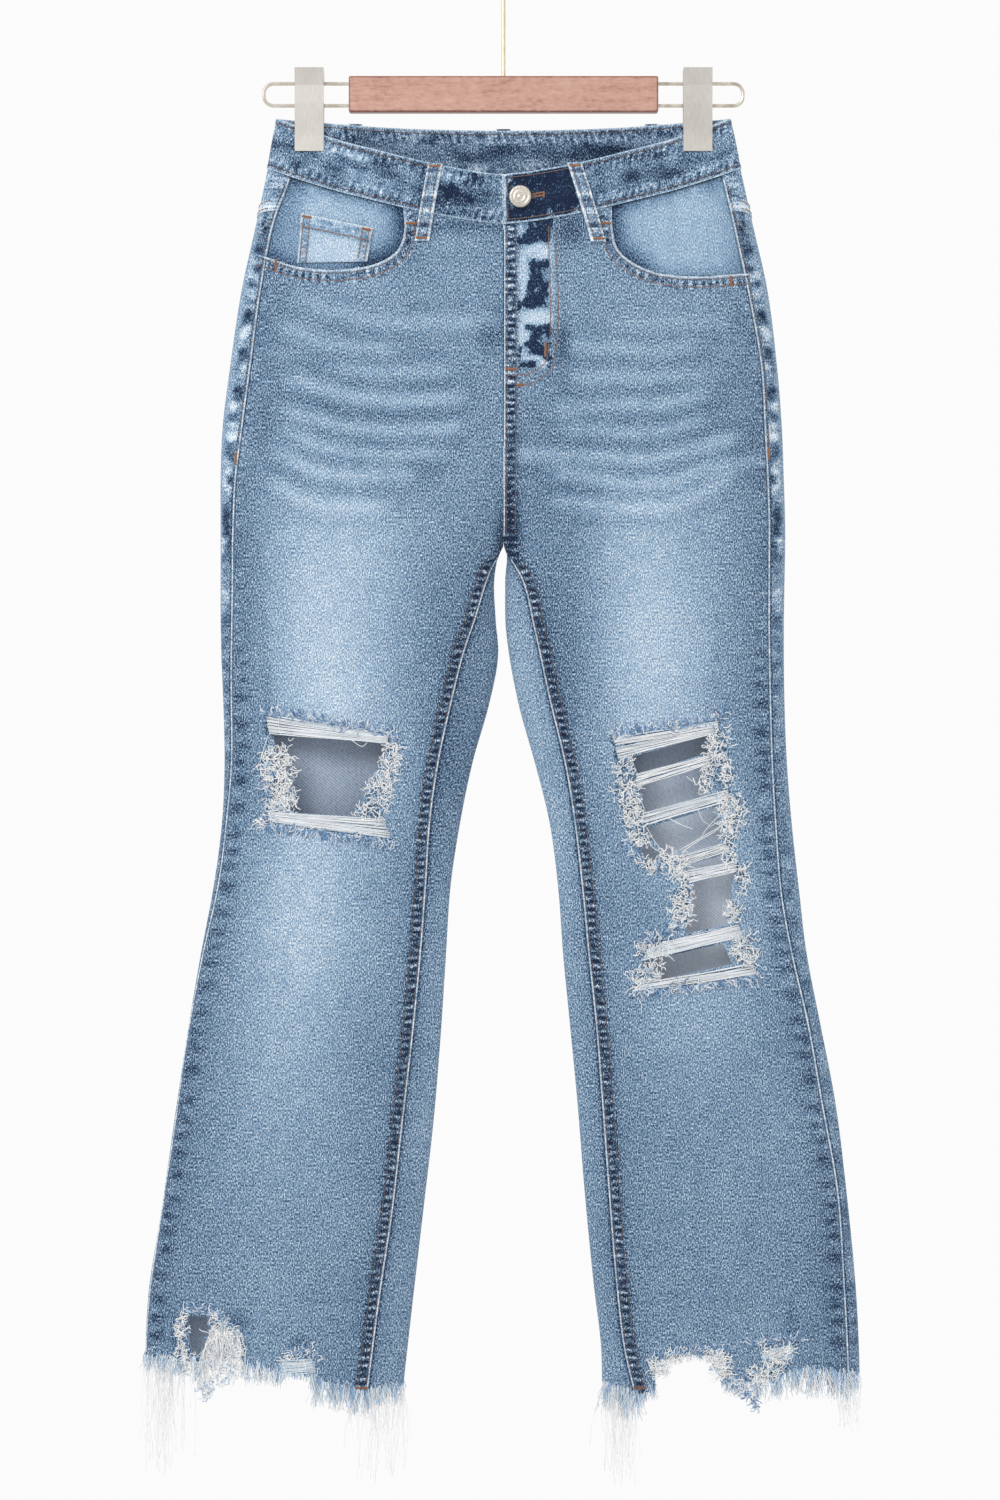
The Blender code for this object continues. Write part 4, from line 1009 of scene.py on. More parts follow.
def yoke(side):
    """Grid between the waistband and the back panel."""
    share = np.concatenate([np.linspace(0.0, 0.10, 14)[:-1], np.linspace(0.10, 1.0, 62)])
    top = yoke_line(side, share, 0.0) + GAP
    foot = yoke_line(side, share, 1.0)
    drop = np.linspace(top, foot, 22)
    turn = back_turns(side, drop, share)
    outseam_away, inner_away = runs_across(skin(side, turn, drop))
    points = skin(side, turn, drop, -FELLED * falling(foot - drop, 0.008, 0.002))
    felled = falling(foot - drop, FELLED_WIDTH, 0.001) * falling(outseam_away, 0.012, 0.02)
    level = back_level(side, turn, np.abs(points[..., 0]), drop, outseam_away, inner_away)
    away = np.minimum(drop - top, foot - drop)
    piece = cut_piece(f"yoke_denim_{side}", f"yoke_{side}", points,
                      grid_faces(*drop.shape, turned=side == "l"))
    paint(piece, SIDES[side] * (0.9 + outseam_away), drop, wash=level + 0.30 * felled,
          pucker=0.8 * puckers(away, 0.008, 0.004), away=away,
          rope=outseam_rope(drop, outseam_away) * (1 - felled),
          run=np.where(outseam_away < 0.014, drop + 4.0, outseam_away + 6.0))


for side in SIDES:
    back_panel(side)
    yoke(side)

# ---------------------------------------------------------------------------------------------
# Pocket facings and coin pocket: paler denim that shows in the mouths of the front pockets.
# The facing is tucked behind the front panel; the coin pocket is a small hemmed patch on the
# wearer's right one, barred at its corners.
TUCK = 0.012                    # how far a facing runs on behind the front panel
FACING_INSET = 0.0020
COIN_UPPER = np.array([(0.1525, 0.0730), (0.0985, 0.0850)])
COIN_LOWER = np.array([(0.1560, 0.1110), (0.1030, 0.1105)])
COIN_WALL = 0.0009
COIN_HEM = 0.0095               # depth of its hem
COIN_CUT = (0.054, 0.036, 0.00165)
PALE_DENIM = denim("pale_washed_denim", 2.1)


def face_points(side, out, drop, inset=0.0, face="front"):
    """Points on a face at distances out; with no side, out is x and each half takes its own."""
    if side:
        return skin(side, turn_at(side, out, drop, face), drop, inset)
    halves = [skin(s, turn_at(s, out * SIDES[s], drop, face), drop, inset) for s in "rl"]
    return np.where((out < 0)[..., None], halves[0], halves[1])


def facing(side):
    """Grid from the waist seam to behind the mouth."""
    rim = POCKET_MOUTHS[side][1:]
    inner, outer = rim[0][0] - TUCK, rim[-1][0]
    across = np.linspace(0.0, 1.0, 46)
    top = seam_line(side, inner, across)
    drop = np.linspace(top, read(rim, inner + (outer - inner) * across) + TUCK, 30)
    outseam = size(side, "outseam", drop)
    out = inner + (outseam + 0.003 - inner) * across
    mouth_away = np.abs(outline_distance(out, drop, mouth_outline(side))[0])
    seam_away = drop - top
    # Painted shadow: darker near the mouth's edge, most on its inner part, where the front panel's edge
    # shades the facing; also darker below the waist seam and near the outseam.
    level = 0.71 - 0.16 * bell(mouth_away, 0.007) - 0.20 * bell(seam_away, 0.006)
    level -= 0.10 * bell(outseam - out, 0.012)
    level -= 0.40 * bell(mouth_away, 0.013) * falling(out, 0.100, 0.025)
    if side == "r":
        level -= 0.16 * rising(out, 0.145, 0.020) + 0.10 * rising(drop, 0.095, 0.015)
    piece = cut_piece(f"facing_denim_{side}", f"pocket_facing_{side}",
                      face_points(side, out, drop, FACING_INSET),
                      grid_faces(*out.shape, turned=side == "l"), PALE_DENIM)
    paint(piece, SIDES[side] * out + 1.4, drop, wash=level, rope=0.35 * bell(seam_away, 0.01),
          away=seam_away, run=out)


def coin_pocket():
    """Grid between the pocket's upper and lower edges, its edges turned under and so raised."""
    across = np.linspace(0.0, 1.0, 34)
    upper, lower = (start + (stop - start) * across[:, None] for start, stop in (COIN_UPPER, COIN_LOWER))
    out, drop = np.moveaxis(np.linspace(upper, lower, 24), -1, 0)
    side_away = np.minimum(across, 1 - across) * COIN_CUT[0] + 0 * out
    top_away = drop - upper[:, 1]
    edge_away = np.minimum(side_away, top_away)
    raised = 0.0002 + 0.0007 * falling(top_away, COIN_HEM, 0.0015)
    level = 0.80 + 0.20 * bell(edge_away, 0.0012) - 0.20 * bell(edge_away, 0.003, 0.004)
    level -= 0.22 * bell(np.abs(top_away - COIN_HEM), 0.0016, 0.001)
    piece = cut_piece("coin_pocket_denim", "coin_pocket", face_points("r", out, drop, -raised),
                      grid_faces(*out.shape, turned=True), PALE_DENIM, COIN_WALL)
    paint(piece, out + 1.7, drop, wash=level, pucker=0.7 * puckers(edge_away, 0.006, 0.003),
          away=edge_away, run=np.where(side_away < top_away, drop, out + 1.0))


for side in SIDES:
    facing(side)
coin_pocket()

# ---------------------------------------------------------------------------------------------
# Back pockets: plain five-sided patches on the seat, hemmed at the top and stitched twice round.
# They lie a little proud of the back panels.
POCKET_TOP = 0.138
POCKET_SIDE = 0.254             # drop of the side corners
POCKET_POINT = 0.018            # how much lower the point is
POCKET_HALF = 0.066             # half width at the top
POCKET_TAPER = 0.10             # what each half narrows by, a metre of drop
POCKET_CENTRE = 0.098
POCKET_PROUD = 0.0015


def back_pocket(side):
    """Grid narrowing to a foot with a shallow point."""
    across = np.linspace(-1.0, 1.0, 56)
    foot = POCKET_SIDE + POCKET_POINT * (1 - np.abs(across))
    drop = np.linspace(np.full_like(foot, POCKET_TOP), foot, 56)
    half = POCKET_HALF - POCKET_TAPER * (drop - POCKET_TOP)
    out = POCKET_CENTRE + across * half
    side_away = (1 - np.abs(across)) * half
    edge_away = np.minimum(np.minimum(side_away, drop - POCKET_TOP), foot - drop)
    raised = POCKET_PROUD + FELLED * falling(edge_away, 0.008, 0.002)
    level = ground_level(side, "back", out, drop) + 0.05
    level += 0.26 * bell(edge_away, 0.0014) - 0.10 * bell(edge_away, 0.004, 0.0045)
    piece = cut_piece(f"back_pocket_denim_{side}", f"back_pocket_{side}",
                      face_points(side, out, drop, -raised, "back"),
                      grid_faces(*out.shape, turned=side == "r"))
    paint(piece, SIDES[side] * (out + 2.0), drop, wash=level,
          pucker=0.8 * puckers(edge_away, 0.007, 0.003), away=edge_away,
          run=np.where(side_away < foot - drop, drop, out + 1.0))


for side in SIDES:
    back_pocket(side)

# ---------------------------------------------------------------------------------------------
# Waistband: a double strip, sewn edge to edge, from the button end round the left side, the back
# and the right side to the underlap.  Its cloth was left blotchy and dark by the wash.
BAND_PROUD = 0.0006
BAND_WALL = 0.0024
BAND_END = math.pi / 2 - 0.004  # turn of the end that carries the button
BAND_CUT = (0.722, 0.038)
DRAGS = 150                     # pale and dark streaks that the wash left


def walled_piece(name, stands_for, outside, inside, turned):
    """A closed wall of denim between two grids of points, in place of its solid."""
    rows, columns = outside.shape[:2]
    count = rows * columns
    index = np.arange(count).reshape(rows, columns)
    sheet = grid_faces(rows, columns)
    rims = [np.stack([edge[1:], edge[:-1], edge[:-1] + count, edge[1:] + count], axis=-1)
            for edge in (index[0, :], index[-1, ::-1], index[::-1, 0], index[:, -1])]
    faces = np.vstack([sheet, sheet[:, ::-1] + count, *rims])
    points = np.concatenate([outside.reshape(-1, 3), inside.reshape(-1, 3)])
    piece = new_piece(name, points, faces[:, ::-1] if turned else faces, (DENIM,))
    piece.data.set_sharp_from_angle(angle=math.radians(50))
    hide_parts(stands_for)
    return piece


def waistband():
    """Rows run down from the top edge; the edges are rolled and the stitched lines sunk."""
    quarter = np.linspace(BAND_END, -math.pi / 2, 140)
    lap = turn_at("l", np.linspace(0.001, 0.030, 12), 0.06)
    down = np.array([0.0, 0.0006, 0.0014, 0.0022, 0.0030, 0.0042, 0.006, 0.009, 0.0125, 0.016,
                     0.019, 0.022, 0.0255, 0.029, 0.032, 0.0338, 0.035, 0.0358, 0.0366, 0.0374,
                     BAND])[:, None]
    edge = np.minimum(down, BAND - down)
    rolled = 0.0004 * rising(edge, 0.0, 0.001) * falling(edge, 0.0014, 0.001)
    rolled += 0.0002 * rising(edge, 0.006, 0.005) - 0.0002 * bell(edge, 0.0008, 0.0032)
    to_lap = falling(np.abs(skin("r", quarter[-2::-1], 0.03)[..., 0]), 0.004, 0.030)
    layers = []
    for layer, relief in ((-BAND_PROUD, rolled), (BAND_WALL - BAND_PROUD, 0.0)):
        columns = []
        for side, turn, under in (("l", quarter, 0.0), ("r", quarter[-2::-1], to_lap), ("l", lap, 1.0)):
            tuck = (BAND_WALL + 2 * GAP) * under * (np.sin(turn) > 0)
            columns.append(skin(side, turn, band_line(turn, down), layer + tuck - relief))
        layers.append(np.concatenate(columns, axis=1))
    along = np.broadcast_to(runs_across(layers[0])[0][10], layers[0].shape[:2])
    depth, near = (np.broadcast_to(value, along.shape) for value in (down, edge))
    x = layers[0][..., 0]
    front = layers[0][..., 1] < 0
    level = np.where(front, 0.43, 0.49) + 0.05 * rising(np.abs(x), 0.07, 0.05) * front
    dice = np.random.default_rng(3)
    for _ in range(DRAGS):
        drag_at, drag_depth = dice.uniform(0.0, BAND_CUT[0]), dice.uniform(0.005, 0.033)
        half_along, half_deep = dice.uniform(0.006, 0.017), dice.uniform(0.0016, 0.0036)
        slope, strength = dice.uniform(-0.05, 0.20), dice.uniform(-0.54, 0.40)
        slant = depth - drag_depth - slope * (along - drag_at)
        level += strength * bell(along, half_along, drag_at) * bell(slant, half_deep)
    shade = 0.38 * bell(depth - 0.02 * x, 0.0065, 0.019) * (0.55 + 0.45 * np.sin(22 * x + 0.4))
    level -= ~front * (shade + 0.16 * bell(depth, 0.003, 0.011) * falling(x, -0.01, 0.06))
    lap_end = front * bell(x, 0.0011, 0.0014)
    level += 0.40 * bell(near, 0.0012) - 0.14 * bell(near, 0.0022, 0.0034) + 0.50 * lap_end
    beside = rising(near, 0.001, 0.001) * falling(near, 0.008, 0.005)
    rope = np.where(front, 0.45, 0.4) * rising(depth, 0.006, 0.006) * falling(depth, 0.032, 0.005)
    navy = 0.84 * falling(np.abs(x - 0.026), 0.022, 0.016) * (x > 0.0012)
    navy = front * (navy + 0.42 * bell(x, 0.024, -0.032)) * rising(near, 0.0008, 0.0010) * (1 - lap_end)
    piece = walled_piece("waistband_denim", "waistband", *layers, True)
    paint(piece, along + 2.6, depth, wash=level, pucker=beside, rungs=0.22 * beside, rope=rope,
          dark=navy, away=depth, run=along + 0.3 * depth)


waistband()

# ---------------------------------------------------------------------------------------------
# Belt loops: folded strips of the same denim over the waistband, barred at both ends.
# They are bowed out a little, so that they stand free of the band between their bars.
LOOP_HALF = 0.0053
LOOP_WALL = 0.0018
LOOP_BOW = 0.0012
BELT_LOOPS = metres((
    # name, side, face, top (out, drop), foot (out, drop)
    ("front_r", "r", "front", (510, 360), (610, 950)),
    ("front_l", "l", "front", (530, 355), (710, 955)),
    ("side_r", "r", "back", (1120, 30), (1120, 620)),
    ("side_l", "l", "back", (1120, 30), (1120, 620)),
    ("back", None, "back", (0, 65), (0, 655)),
))


def loop_points(side, face, out, drop, share, lift):
    """Points above the outer face of a belt loop, at shares of its length."""
    bow = np.sin(share * math.pi) * LOOP_BOW
    return face_points(side, out, drop, -BAND_PROUD - GAP - LOOP_WALL - bow - lift, face)


def belt_loop(name, side, face, upper, lower):
    """Strip of two rolled edges with a channel between, bowed out between its bars."""
    down = np.concatenate([np.linspace(0, 0.05, 4), np.linspace(0.05, 0.95, 30)[1:-1],
                           np.linspace(0.95, 1, 4)])[:, None]
    across = np.array([-1.0, -0.93, -0.8, -0.62, -0.4, 0.0, 0.4, 0.62, 0.8, 0.93, 1.0])
    drop = upper[1] + (lower[1] - upper[1]) * down + 0 * across
    out = upper[0] + (lower[0] - upper[0]) * down + across * LOOP_HALF
    rolled = 0.00035 * bell(np.abs(across), 0.14, 0.85) - 0.0006 * rising(np.abs(across), 0.9, 0.1)
    layers = [loop_points(side, face, out, drop, down, lift) for lift in (rolled, -LOOP_WALL)]
    piece = walled_piece(f"belt_loop_denim_{name}", f"belt_loop_{name}", *layers, side != "l")
    edge = (1 - np.abs(across)) * LOOP_HALF + 0 * drop
    level = 0.55 + 0.40 * bell(edge, 0.0013) - 0.06 * bell(edge, 0.001, 0.003)
    paint(piece, out + 3.6, drop, wash=level, pucker=1.5, rungs=0.16, away=edge * 0.5, run=drop * 0.8)


for loop in BELT_LOOPS:
    belt_loop(*loop)

# ---------------------------------------------------------------------------------------------
# Zip: closed, on woven tape behind the fly, where it hardly shows.
# The solid stays and takes a material.
def woven_tape():
    """Navy tape with a fine herringbone rib."""
    material, tree, shader = start_material("zip_tape_weave", 0.8, Specular_IOR_Level=0.3)
    place = object_place(tree)
    rib = node(tree, "TexWave", [("Vector", place), ("Scale", 260.0), ("Distortion", 1.0)],
               bands_direction="DIAGONAL").outputs["Fac"]
    level = weigh(tree, rib, (noise(tree, place, 900.0), 0.6))
    dye(tree, shader, level, ((0.0, (18, 26, 42)), (1.0, (48, 60, 84))))
    emboss(tree, shader, level, 0.5, 0.0004)
    return material


def coat(solid, material):
    """Gives a solid that stays in view its material."""
    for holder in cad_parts[solid].material_slots:
        holder.material = material


coat("fly_zip", woven_tape())

# ---------------------------------------------------------------------------------------------
# Seam edges and stitching: folded cloth edges that stand proud along the seams, worn pale, and
# rows of brown lock stitches beside them, with orange bars where a pocket or the fly would tear.
STITCH_PITCH = 0.0031
STITCH_LENGTH = 0.0026
THREAD = 0.00044                # radius of the thread
FINE_THREAD = 0.9 * THREAD      # of the bars
SEAM_EDGE = 0.0009              # distance of a folded edge's middle from its seam
EDGE_RADIUS = 0.00062
EDGE_SIDES = 6
ALONG_STEP = 0.0015             # step of the lines along a seam
LOW_END = 0.318                 # drop at which the rows of the centre seams end, above the crotch
BAR_PITCH = 0.00040
BAR_INSET = 0.0022              # of a belt loop's bars from its ends
# Distances of the rows of stitches from their seam or edge.
ROWS = {"inseam": (0.0026, 0.0086), "outseam": 0.0025, "mouth": (0.0024, 0.0080),
        "yoke": (0.0026, 0.0082), "band": 0.0030, "centre": (0.0026, 0.0092),
        "pocket": (0.0024, 0.0080), "coin_pocket": (0.0022, 0.0070), "loop": (-0.0030, 0.0030)}
FLY_STITCHES = metres((
    ((338, 830), (338, 1760), (308, 1880), (186, 1960), (57, 1980), (10, 2040)),
    ((391, 830), (391, 1800), (350, 1930), (210, 2030), (60, 2060)),
))
FLY_BARS = metres((
    # start, stop, lift, width
    ((12, 1920), (98, 1920), 6, 17), ((316, 1720), (316, 1825), 2, 13),
    ((87, 2037), (156, 2037), 2, 12), ((195, 600), (300, 580), 6, 11),
    ((195, 622), (300, 602), 6, 11), ((302, 572), (302, 620), 6, 12),
))
STITCHING = cotton("topstitching_thread", (
    (0.0, (56, 50, 62)), (0.5, (140, 96, 72)), (1.0, (204, 142, 92))), 900.0, 0.3)


def tubes(bunches, sides):
    """Closed tubes of so many sides along yarns; each bunch is (paths, radius).

    paths has an axis of yarns and one of steps, and radius is one number or one a yarn.
    """
    points, faces, start = [], [], 0
    angle = np.arange(sides)[:, None] * 2 * math.pi / sides
    for paths, radius in bunches:
        ahead = np.gradient(paths, axis=1)
        ahead /= np.linalg.norm(ahead, axis=-1, keepdims=True) + 1e-12
        beside = np.cross(ahead, (0.0, 1.0, 0.03))
        beside /= np.linalg.norm(beside, axis=-1, keepdims=True) + 1e-12
        over = np.cross(ahead, beside)
        ring = paths[:, :, None] + np.reshape(radius, (-1, 1, 1, 1)) * (
            np.cos(angle) * beside[:, :, None] + np.sin(angle) * over[:, :, None])
        index = start + np.arange(ring[..., 0].size).reshape(ring.shape[:3])
        here, after = index[:, :-1], index[:, 1:]
        quads = np.stack([here, np.roll(here, -1, -1), np.roll(after, -1, -1), after],
                         axis=-1).reshape(-1, 4)
        fans = [np.stack([end[:, 0], end[:, k], end[:, k + 1]], axis=-1)
                for end in (index[:, 0, ::-1], index[:, -1]) for k in range(1, sides - 1)]
        faces += [quads[:, [0, 1, 2]], quads[:, [0, 2, 3]], *fans]
        points.append(ring.reshape(-1, 3))
        start += len(points[-1])
    return np.vstack(points), np.vstack(faces)


def bundle(name, groups, material):
    """One piece of many yarns; groups are (paths, radius, tone), tone for all, a yarn or a step."""
    points, faces = tubes([group[:2] for group in groups], 3)
    tones = [np.broadcast_to(tone if np.ndim(tone) == 2 else np.reshape(tone, (-1, 1)),
                             paths.shape[:2]).ravel() for paths, _, tone in groups]
    piece = new_piece(name, points, faces, (material,))
    tones = np.repeat(np.concatenate(tones), 3).astype(np.float32)
    piece.data.attributes.new("tone", "FLOAT", "POINT").data.foreach_set("value", tones)
    return piece


def seam_at(side, column, away, start, stop):
    """Turns and drops along a seam of the front, at a distance from it."""
    drop = np.arange(start, stop, ALONG_STEP)
    return turn_at(side, size(side, column, drop) + away, drop), drop


def beside_mouth(side, away, start):
    """Distances out and drops of a line beside a pocket mouth, from a drop down."""
    line = rounded(POCKET_MOUTHS[side], 160)
    ahead = np.gradient(line, axis=0)
    ahead /= np.linalg.norm(ahead, axis=1, keepdims=True)
    line += away * np.stack([-ahead[:, 1], ahead[:, 0]], axis=1)
    return line[line[:, 1] > start].T


def seam_edges():
    """One piece of half-sunk tubes; wash and pucker make each look roped."""
    lines = []
    for side in SIDES:
        for column, away, start in (("inseam", SEAM_EDGE, INSEAM_START), ("outseam", 0.0010, 0.046)):
            foot = hem_drop(side, size(side, column, FLARE)) - 0.001
            lines.append((side, *seam_at(side, column, away, start, foot)))
        out, drop = beside_mouth(side, SEAM_EDGE, 0.079)
        lines.append((side, turn_at(side, out, drop), drop))
        share = np.linspace(0.004, 0.995, 160)
        drop = yoke_line(side, share, 1.0) - SEAM_EDGE
        lines.append((side, back_turns(side, drop, share), drop))
    lines.append(("l", *seam_at("l", "inseam", SEAM_EDGE, 0.0835, LOW_END)))
    drop = np.arange(0.052, 0.320, ALONG_STEP)
    lines.append(("l", turn_at("l", SEAM_EDGE, drop, "back"), drop))
    paths = [skin(side, turn, drop, -0.0002) for side, turn, drop in lines]
    points, faces = tubes([(path[None], EDGE_RADIUS) for path in paths], EDGE_SIDES)
    piece = new_piece("seam_edges_denim", points, faces, (DENIM,))
    before = np.cumsum([0] + [len(path) for path in paths])
    run = np.concatenate([run_along(path) + 0.06 * count for path, count in zip(paths, before)])
    run, drop = (np.repeat(values, EDGE_SIDES)
                 for values in (run, np.concatenate([line[2] for line in lines])))
    paint(piece, run, drop, wash=0.86, pucker=0.35, rope=0.20, away=0.004, run=run)


def stitches(place, along, tone):
    """Short yarns that dip into the cloth at both ends.

    place(at, proud) gives points at parameters, and along is the run at each whole parameter.
    """
    count = int(along[-1] / STITCH_PITCH)
    t = np.linspace(0.0, 1.0, 5)
    at = (np.arange(count)[:, None] + 0.15) * STITCH_PITCH + STITCH_LENGTH * t
    at = np.interp(at, along, np.arange(len(along)))
    proud = 0.00042 * np.sin(math.pi * t) - 0.00016
    return place(at, np.broadcast_to(proud, at.shape)), THREAD, tone


def stitch_row(side, turn, drop, lift, tone=0.5, outward=1.0):
    """A row along turns and drops, lifted off the skin of one leg; outward -1 is a lining's."""
    def place(at, proud):
        steps = np.arange(len(turn))
        return skin(side, np.interp(at, steps, turn), np.interp(at, steps, drop),
                    -lift - outward * proud)

    return stitches(place, run_along(skin(side, turn, drop)), tone)


def face_row(side, out, drop, lift, tone=0.5, face="front"):
    """A row along distances out and drops."""
    return stitch_row(side, turn_at(side, out, drop, face), drop, lift, tone)


def bar(side, start, stop, lift, face="front", width=0.0017, tone=0.62):
    """A bar tack: thread wound across a line from start to stop, both (out, drop)."""
    start, stop = np.array(start), np.array(stop)
    length = np.linalg.norm(stop - start)
    ahead = (stop - start) / length
    beside = np.array([-ahead[1], ahead[0]]) * width
    count = int(length / BAR_PITCH)
    t = np.linspace(-0.5, 0.5, 5)
    slant = np.linspace(-0.3, 0.3, 5)[:, None] * 0.0006 * ahead
    middle = start + (stop - start) * ((np.arange(count) + 0.5) / count)[:, None]
    spots = middle[:, None] + t[:, None] * beside + slant
    proud = lift - 0.0001 + 0.00055 * np.cos(math.pi * t)
    return face_points(side, spots[..., 0], spots[..., 1], -proud, face), FINE_THREAD, tone


def leg_stitching(side):
    """Rows beside the inseam, outseam, pocket mouth and yoke of one side."""
    hem = hem_drop(side, size(side, "inseam", FLARE)) - 0.002
    rows = [stitch_row(side, *seam_at(side, "inseam", away, 0.338, hem), 0.0006, 0.12)
            for away in ROWS["inseam"]]
    seam = size(side, "inseam", hem)
    rows.append(bar(side, (seam + 0.0012, hem), (seam + 0.0098, hem), 0.0006, tone=0.5))
    stop = {"r": 0.2584, "l": 0.2546}[side]
    rows.append(stitch_row(side, *seam_at(side, "outseam", ROWS["outseam"], 0.050, stop), 0.0005, 0.14))
    for away, tone in zip(ROWS["mouth"], (0.24, 0.50)):
        rows.append(face_row(side, *beside_mouth(side, away, 0.080), 0.0006, tone))
    share = np.linspace(0.07, 0.99, 300)
    for away in ROWS["yoke"]:
        drop = yoke_line(side, share, 1.0) - away
        rows.append(stitch_row(side, back_turns(side, drop, share), drop, 0.0005))
    beside = size(side, "outseam", stop) + 0.002
    rows.append(bar(side, (beside, stop - 0.004), (beside, stop + 0.005), 0.0006))
    mouth = rounded(POCKET_MOUTHS[side], 60)
    inner, end = mouth[np.argmax(mouth[:, 1] > 0.081), 0], mouth[-4]
    rows.append(bar(side, (inner - 0.0012, 0.0815), (inner - 0.0095, 0.0815), 0.0006))
    rows.append(bar(side, end + (-0.006, 0.0015), end + (-0.006, 0.0095), 0.0007))
    return rows


def band_stitching():
    """Rows along both edges of the waistband, inside and out, and down its end."""
    rows = []
    for side, front_end in (("r", 1.36), ("l", BAND_END)):
        turn = np.linspace(front_end, -math.pi / 2, 700)
        for down in (ROWS["band"], BAND - ROWS["band"]):
            for lift, outward in ((BAND_PROUD, 1.0), (BAND_PROUD - BAND_WALL, -1.0)):
                rows.append(stitch_row(side, turn, band_line(turn, down), lift, 0.20, outward))
    rows.append(face_row("l", 0.0032, np.linspace(0.048, 0.079, 60), BAND_PROUD))
    return rows


def fly_and_seat_stitching():
    """The fly's hooked rows, the two rows beside the centre seams, and the fly's bars."""
    rows = [face_row("l", *rounded(line, 160).T, 0.0001) for line in FLY_STITCHES]
    for away in ROWS["centre"]:
        rows.append(stitch_row("l", *seam_at("l", "inseam", away, 0.084, LOW_END), 0.0005, 0.3))
        rows.append(face_row("l", away, np.arange(0.120, LOW_END, ALONG_STEP), 0.0001, face="back"))
    rows += [bar("l", start, stop, lift, width=width) for start, stop, lift, width in FLY_BARS]
    return rows


def pocket_stitching(side):
    """Two rows round a back pocket, one along its hem, and bars at its upper corners."""
    turns = np.linspace(0, 4, 400)
    across = np.interp(turns, range(5), (-1.0, -1.0, 0.0, 1.0, 1.0))
    down = np.interp(turns, range(5), (0.0, 1.0, 1.0, 1.0, 0.0))
    top = POCKET_TOP + 0.001
    rows = []
    for away in ROWS["pocket"]:
        foot = POCKET_SIDE + POCKET_POINT * (1 - np.abs(across)) - away
        drop = top + (foot - top) * down
        half = POCKET_HALF - POCKET_TAPER * (drop - POCKET_TOP) - away
        rows.append(face_row(side, POCKET_CENTRE + across * half, drop, 0.0020, face="back"))
    out = POCKET_CENTRE + np.linspace(-0.055, 0.055, 100)
    rows.append(face_row(side, out, np.full(100, POCKET_TOP + 0.014), 0.0016, face="back"))
    for corner in (POCKET_CENTRE - POCKET_HALF + 0.0052, POCKET_CENTRE + POCKET_HALF - 0.0052):
        rows.append(bar(side, (corner, top), (corner, top + 0.008), 0.0020, "back"))
    return rows


def coin_pocket_stitching():
    """A row down each side, one along the hem, and bars at the upper corners."""
    along = np.array([-1.0, 0.22]) / math.hypot(1.0, 0.22)
    rows = []
    for start, stop, inward in zip(COIN_UPPER, COIN_LOWER, (along, -along)):
        for away in ROWS["coin_pocket"]:
            rows.append(face_row("r", *(np.linspace(start, stop, 60) + away * inward).T, 0.0009))
        spot = start + 0.0045 * inward + (0.0, 0.002)
        rows.append(bar("r", spot - 0.0035 * along, spot + 0.0035 * along, 0.0010))
    rows.append(face_row("r", *(np.linspace(*COIN_UPPER, 60) + (0.0, 0.0100)).T, 0.0009))
    return rows


def loop_stitching():
    """Two rows down each belt loop and a bar at both ends."""
    rows = []
    for _, side, face, upper, lower in BELT_LOOPS:
        upper, lower = np.array(upper), np.array(lower)
        along = np.linspace(0.0, np.linalg.norm(lower - upper), 120)
        for away in ROWS["loop"]:
            def place(at, proud):
                share = at / 119
                spot = upper + (away, 0.0) + (lower - upper) * share[..., None]
                return loop_points(side, face, spot[..., 0], spot[..., 1], share, proud)

            rows.append(stitches(place, along, 0.4))
        for spot, inward in ((upper, BAR_INSET), (lower, -BAR_INSET)):
            rows.append(bar(side, spot + (-0.0042, inward), spot + (0.0042, inward),
                            BAND_PROUD + GAP + LOOP_WALL + 0.0002, face, 0.0015))
    return rows


seam_edges()
for side in SIDES:
    bundle(f"leg_stitching_{side}", leg_stitching(side), STITCHING)
    bundle(f"back_pocket_stitching_{side}", pocket_stitching(side), STITCHING)
bundle("waistband_stitching", band_stitching(), STITCHING)
bundle("fly_stitching", fly_and_seat_stitching(), STITCHING)
bundle("coin_pocket_stitching", coin_pocket_stitching(), STITCHING)
bundle("belt_loop_stitching", loop_stitching(), STITCHING)

# ---------------------------------------------------------------------------------------------
# Button: a plain pale metal shank button with two turned rings, riveted through the band's end.
# Its profile is turned about an axis that faces forward.
BUTTON_STEPS = 56
BUTTON_HEIGHT = 0.0048
BUTTON_PROFILE = metres((
    # radius, height above the band
    (0, 40), (16, 41), (22, 36), (28, 40), (50, 43), (55, 39), (61, 45), (68, 48), (77, 46),
    (84, 38), (85, 31), (79, 24), (36, 18), (31, 10), (31, -3), (0, -3),
))


def metal(name, dark, pale, roughness, scale, brushed=1.0):
    """Satin metal: fine brush lines that wander in colour and gloss, over a broader mottle."""
    material, tree, shader = start_material(name, roughness, Metallic=0.75)
    place = object_place(tree)
    brush = noise(tree, mapped(tree, place, Scale=(brushed, 1.0, 1.0)), scale, 4.0)
    level = weigh(tree, brush, (noise(tree, place, 45.0), 0.6))
    dye(tree, shader, level, ((0.2, dark), (0.8, pale)))
    vary_gloss(tree, shader, level, roughness - 0.08, roughness + 0.12)
    emboss(tree, shader, brush, 0.25, 0.0002)
    return material


